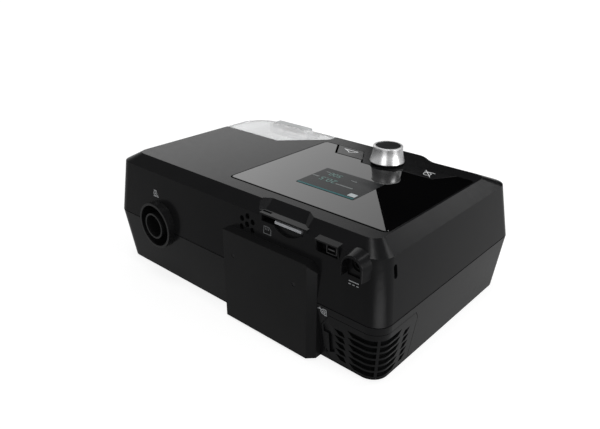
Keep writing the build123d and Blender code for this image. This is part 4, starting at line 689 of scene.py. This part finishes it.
# the rear wall stands furthest out at the seam, and draws in above and below it
wallSet = {"y": 91.0, "z": 47.0}
upperLean, lowerLean = 0.1, -5.5 / 45
rearSigns = {
    "airOutMark": {
        "x": 84.5, "z": 74.8, "lean": upperLean, "ink": whiteInk, "width": 0.6,
        "rings": [((-1.2, 0.2), 2.0, 0.6), ((-1.2, 0.2), 0.5, 0.6)],
        "lines": [[(-3.2, -2.3), (2.6, -2.3)], [(1.3, -0.8), (3.2, -2.3)],
                  [(-2.9, 2.6), (0.2, 2.6)]],
    },
    "cardMark": {
        "x": -41.9, "z": 83.0, "lean": upperLean, "ink": greyInk, "width": 0.5,
        "lines": [[(-3.4, -2.6), (-3.4, 2.6), (1.4, 2.6), (3.4, 0.8), (3.4, -2.6), (-3.4, -2.6)],
                  [(-1.8, 1.6), (-1.8, 0.4)], [(-0.4, 1.6), (-0.4, 0.4)],
                  [(1.0, 1.6), (1.0, 0.4)]],
    },
    "directCurrentMark": {
        "x": -117.1, "z": 71.9, "lean": upperLean, "ink": whiteInk, "width": 0.6,
        "lines": [[(-3.6, 1.0), (3.6, 1.0)], [(-3.6, -1.0), (-2.4, -1.0)],
                  [(-0.6, -1.0), (0.6, -1.0)], [(2.4, -1.0), (3.6, -1.0)]],
    },
    "airInMark": {
        "x": -94.5, "z": 42.4, "lean": lowerLean, "ink": whiteInk, "width": 0.6,
        "rings": [((0.4, -0.2), 1.7, 0.6), ((0.4, -0.2), 0.45, 0.5)],
        "lines": [[(-3.6, 1.4), (-1.2, 1.4)], [(-2.2, 2.4), (-1.2, 1.4)],
                  [(3.2, 2.2), (3.2, -2.4)], [(0.6, 2.4), (3.2, 2.2)],
                  [(3.2, -2.4), (1.4, -2.4)]],
    },
}

for name, sign in rearSigns.items():
    lean = sign["lean"]
    wallPlace = (sign["x"], wallSet["y"] - lean * (sign["z"] - wallSet["z"]), sign["z"])
    # seen from behind, right is -X
    setMark(name, drawSign(sign), wallPlace, right=(-1, 0, 0), upward=(0, -lean, 1),
            body="case", slot="card_plastic", paint=sign["ink"])

keySigns = {
    "rampMark": {
        "body": "ramp_key", "width": 0.8,
        "middle": (-9.6, -47.2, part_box("ramp_button")[1][2] / mm),
        "lines": [[(-7.2, -2.6), (6.8, -2.6)],
                  [(-7.2, -2.6), (-4.2, 0.4), (-0.8, 2.2), (0.8, 0.4), (6.8, -2.6)]],
    },
    "muteMark": {
        "body": "mute_key", "width": 0.36,
        "middle": (-87.5, -45.5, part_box("mute_button")[1][2] / mm),
        "rings": [((0, 0.8), 3.0, 0.36)],
        "lines": [[(-4.6, -3.2), (4.6, -3.2)], [(-5.0, 5.6), (5.0, -5.8)]],
    },
}
onTop = {"right": (1, 0, 0), "upward": (0, 1, 0)}

for name, sign in keySigns.items():
    setMark(name, drawSign(sign), sign["middle"], body=sign["body"], slot="card_plastic",
            paint=keyInkPaintedGlow, **onTop)
print("marks set")

# the gloss panel's edge, and a strip of painted shade round it

panelSet = {
    "gap": 1.0,             # dark line along the panel's edge
    "gapRise": 0.03,
    "edge": 0.3,            # sloping rim inside it
    "edgeFoot": 0.02,
    "edgeRise": 0.24,
    "weld": 0.002,
    "upright": 0.99,        # the top face's normals have at least this along Z
    "topSlack": 0.02,       # and its faces are no further than this below the top
    "flat": radians(0.5),   # edges that fold less than this are dissolved
}
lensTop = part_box("display_lens")[1][2] / mm


def panelOutline(name):
    # a flat copy of the panel's top face, in edit mode and all selected
    sheet = startFrom("display_lens", name, panelSet["weld"])
    bpy.ops.mesh.select_mode(type="FACE")
    bpy.ops.object.mode_set(mode="OBJECT")
    lowest = (lensTop - panelSet["topSlack"]) * mm
    for face in sheet.data.polygons:
        face.select = face.normal.z < panelSet["upright"] or face.center.z < lowest
    bpy.ops.object.mode_set(mode="EDIT")
    bpy.ops.mesh.delete(type="FACE")
    bpy.ops.mesh.select_all(action="SELECT")
    bpy.ops.mesh.dissolve_limited(angle_limit=panelSet["flat"])
    bpy.ops.mesh.select_all(action="SELECT")
    return sheet


# a near-black strip round the panel: painted shade standing in for the shade on the panel's side
# wall
panelShadeStrip = panelOutline("panelPaintedShade")
bpy.ops.mesh.inset(thickness=panelSet["gap"] * mm, use_boundary=True)
bpy.ops.mesh.delete(type="FACE")
extrudeUp(panelSet["gapRise"])
faceOutwards()
coat(panelShadeStrip, mouldedPlastic("gapPaintedShade", (0.002, 0.002, 0.002), 0.6, specular=0.0))
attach(panelShadeStrip, "case")

rim = panelOutline("panelRim")
bpy.ops.mesh.inset(thickness=panelSet["gap"] * mm, use_boundary=True)
bpy.ops.mesh.select_all(action="INVERT")
bpy.ops.mesh.delete(type="FACE")
extrudeUp(panelSet["edgeFoot"])
bpy.ops.mesh.inset(thickness=panelSet["edge"] * mm, use_boundary=True)
bpy.ops.transform.translate(value=(0, 0, panelSet["edgeRise"] * mm))
faceOutwards()
coat(rim, finishes["lens_gloss"])
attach(rim, "case")
print("panel edge set")

# the lit screen

screenSet = {
    "pane": {"low": (-76.0, -2.0), "high": (-22.0, 36.5), "rounding": 0.02},
    "bar": {"low": (-75.0, 34.0), "high": (-22.8, 36.0), "rounding": 0.1},
    "block": {"low": (-74.0, 27.5), "high": (-67.5, 32.5), "rounding": 0.1},
    "labels": [             # both ends and the width
        ((-57.8, 8.0), (-53.4, 8.0), 1.3),
        ((-30.4, 5.6), (-27.6, 5.6), 1.3),
        ((-62.8, 20.5), (-48.8, 20.5), 1.7),
        ((-28.4, 17.2), (-23.8, 17.2), 1.7),
    ],
    "numerals": [("500", (-37.5, 7.0), 5.6), ("20.5", (-39.0, 18.0), 6.4)],
}


def screenPatch(low, high, rounding):
    # a flat rounded patch, as a thick bar along X
    height = high[1] - low[1]
    middle = (low[1] + high[1]) / 2
    return barStroke((low[0] + height / 2, middle), (high[0] - height / 2, middle), height,
                     rounding)


paneFoot = lensTop + panelSet["edgeRise"] + panelSet["edgeFoot"]
onPanel = {"origin": (0, 0, paneFoot), "body": "case", "slot": "screen_glass", **onTop}
onPane = {**onPanel, "origin": (0, 0, paneFoot + markSet["depth"])}
setMark("screenPane", [screenPatch(**screenSet["pane"])], paint=finishes["screen_glass"],
        **onPanel)
setMark("screenBar", [screenPatch(**screenSet["bar"])],
        paint=litPaint("tealLight", (0.008, 0.07, 0.075), 0.5), **onPane)
setMark("screenBlock", [screenPatch(**screenSet["block"])],
        paint=litPaint("whiteLight", (0.34, 0.37, 0.38), 0.4), **onPane)
setMark("screenLabels", [barStroke(*label) for label in screenSet["labels"]],
        paint=litPaint("greyLight", (0.13, 0.14, 0.14), 0.3), **onPane)
setMark("screenNumerals", [numeralStroke(*row) for row in screenSet["numerals"]],
        paint=litPaint("paleTealLight", (0.09, 0.15, 0.14), 0.45), **onPane)
print("screen set")
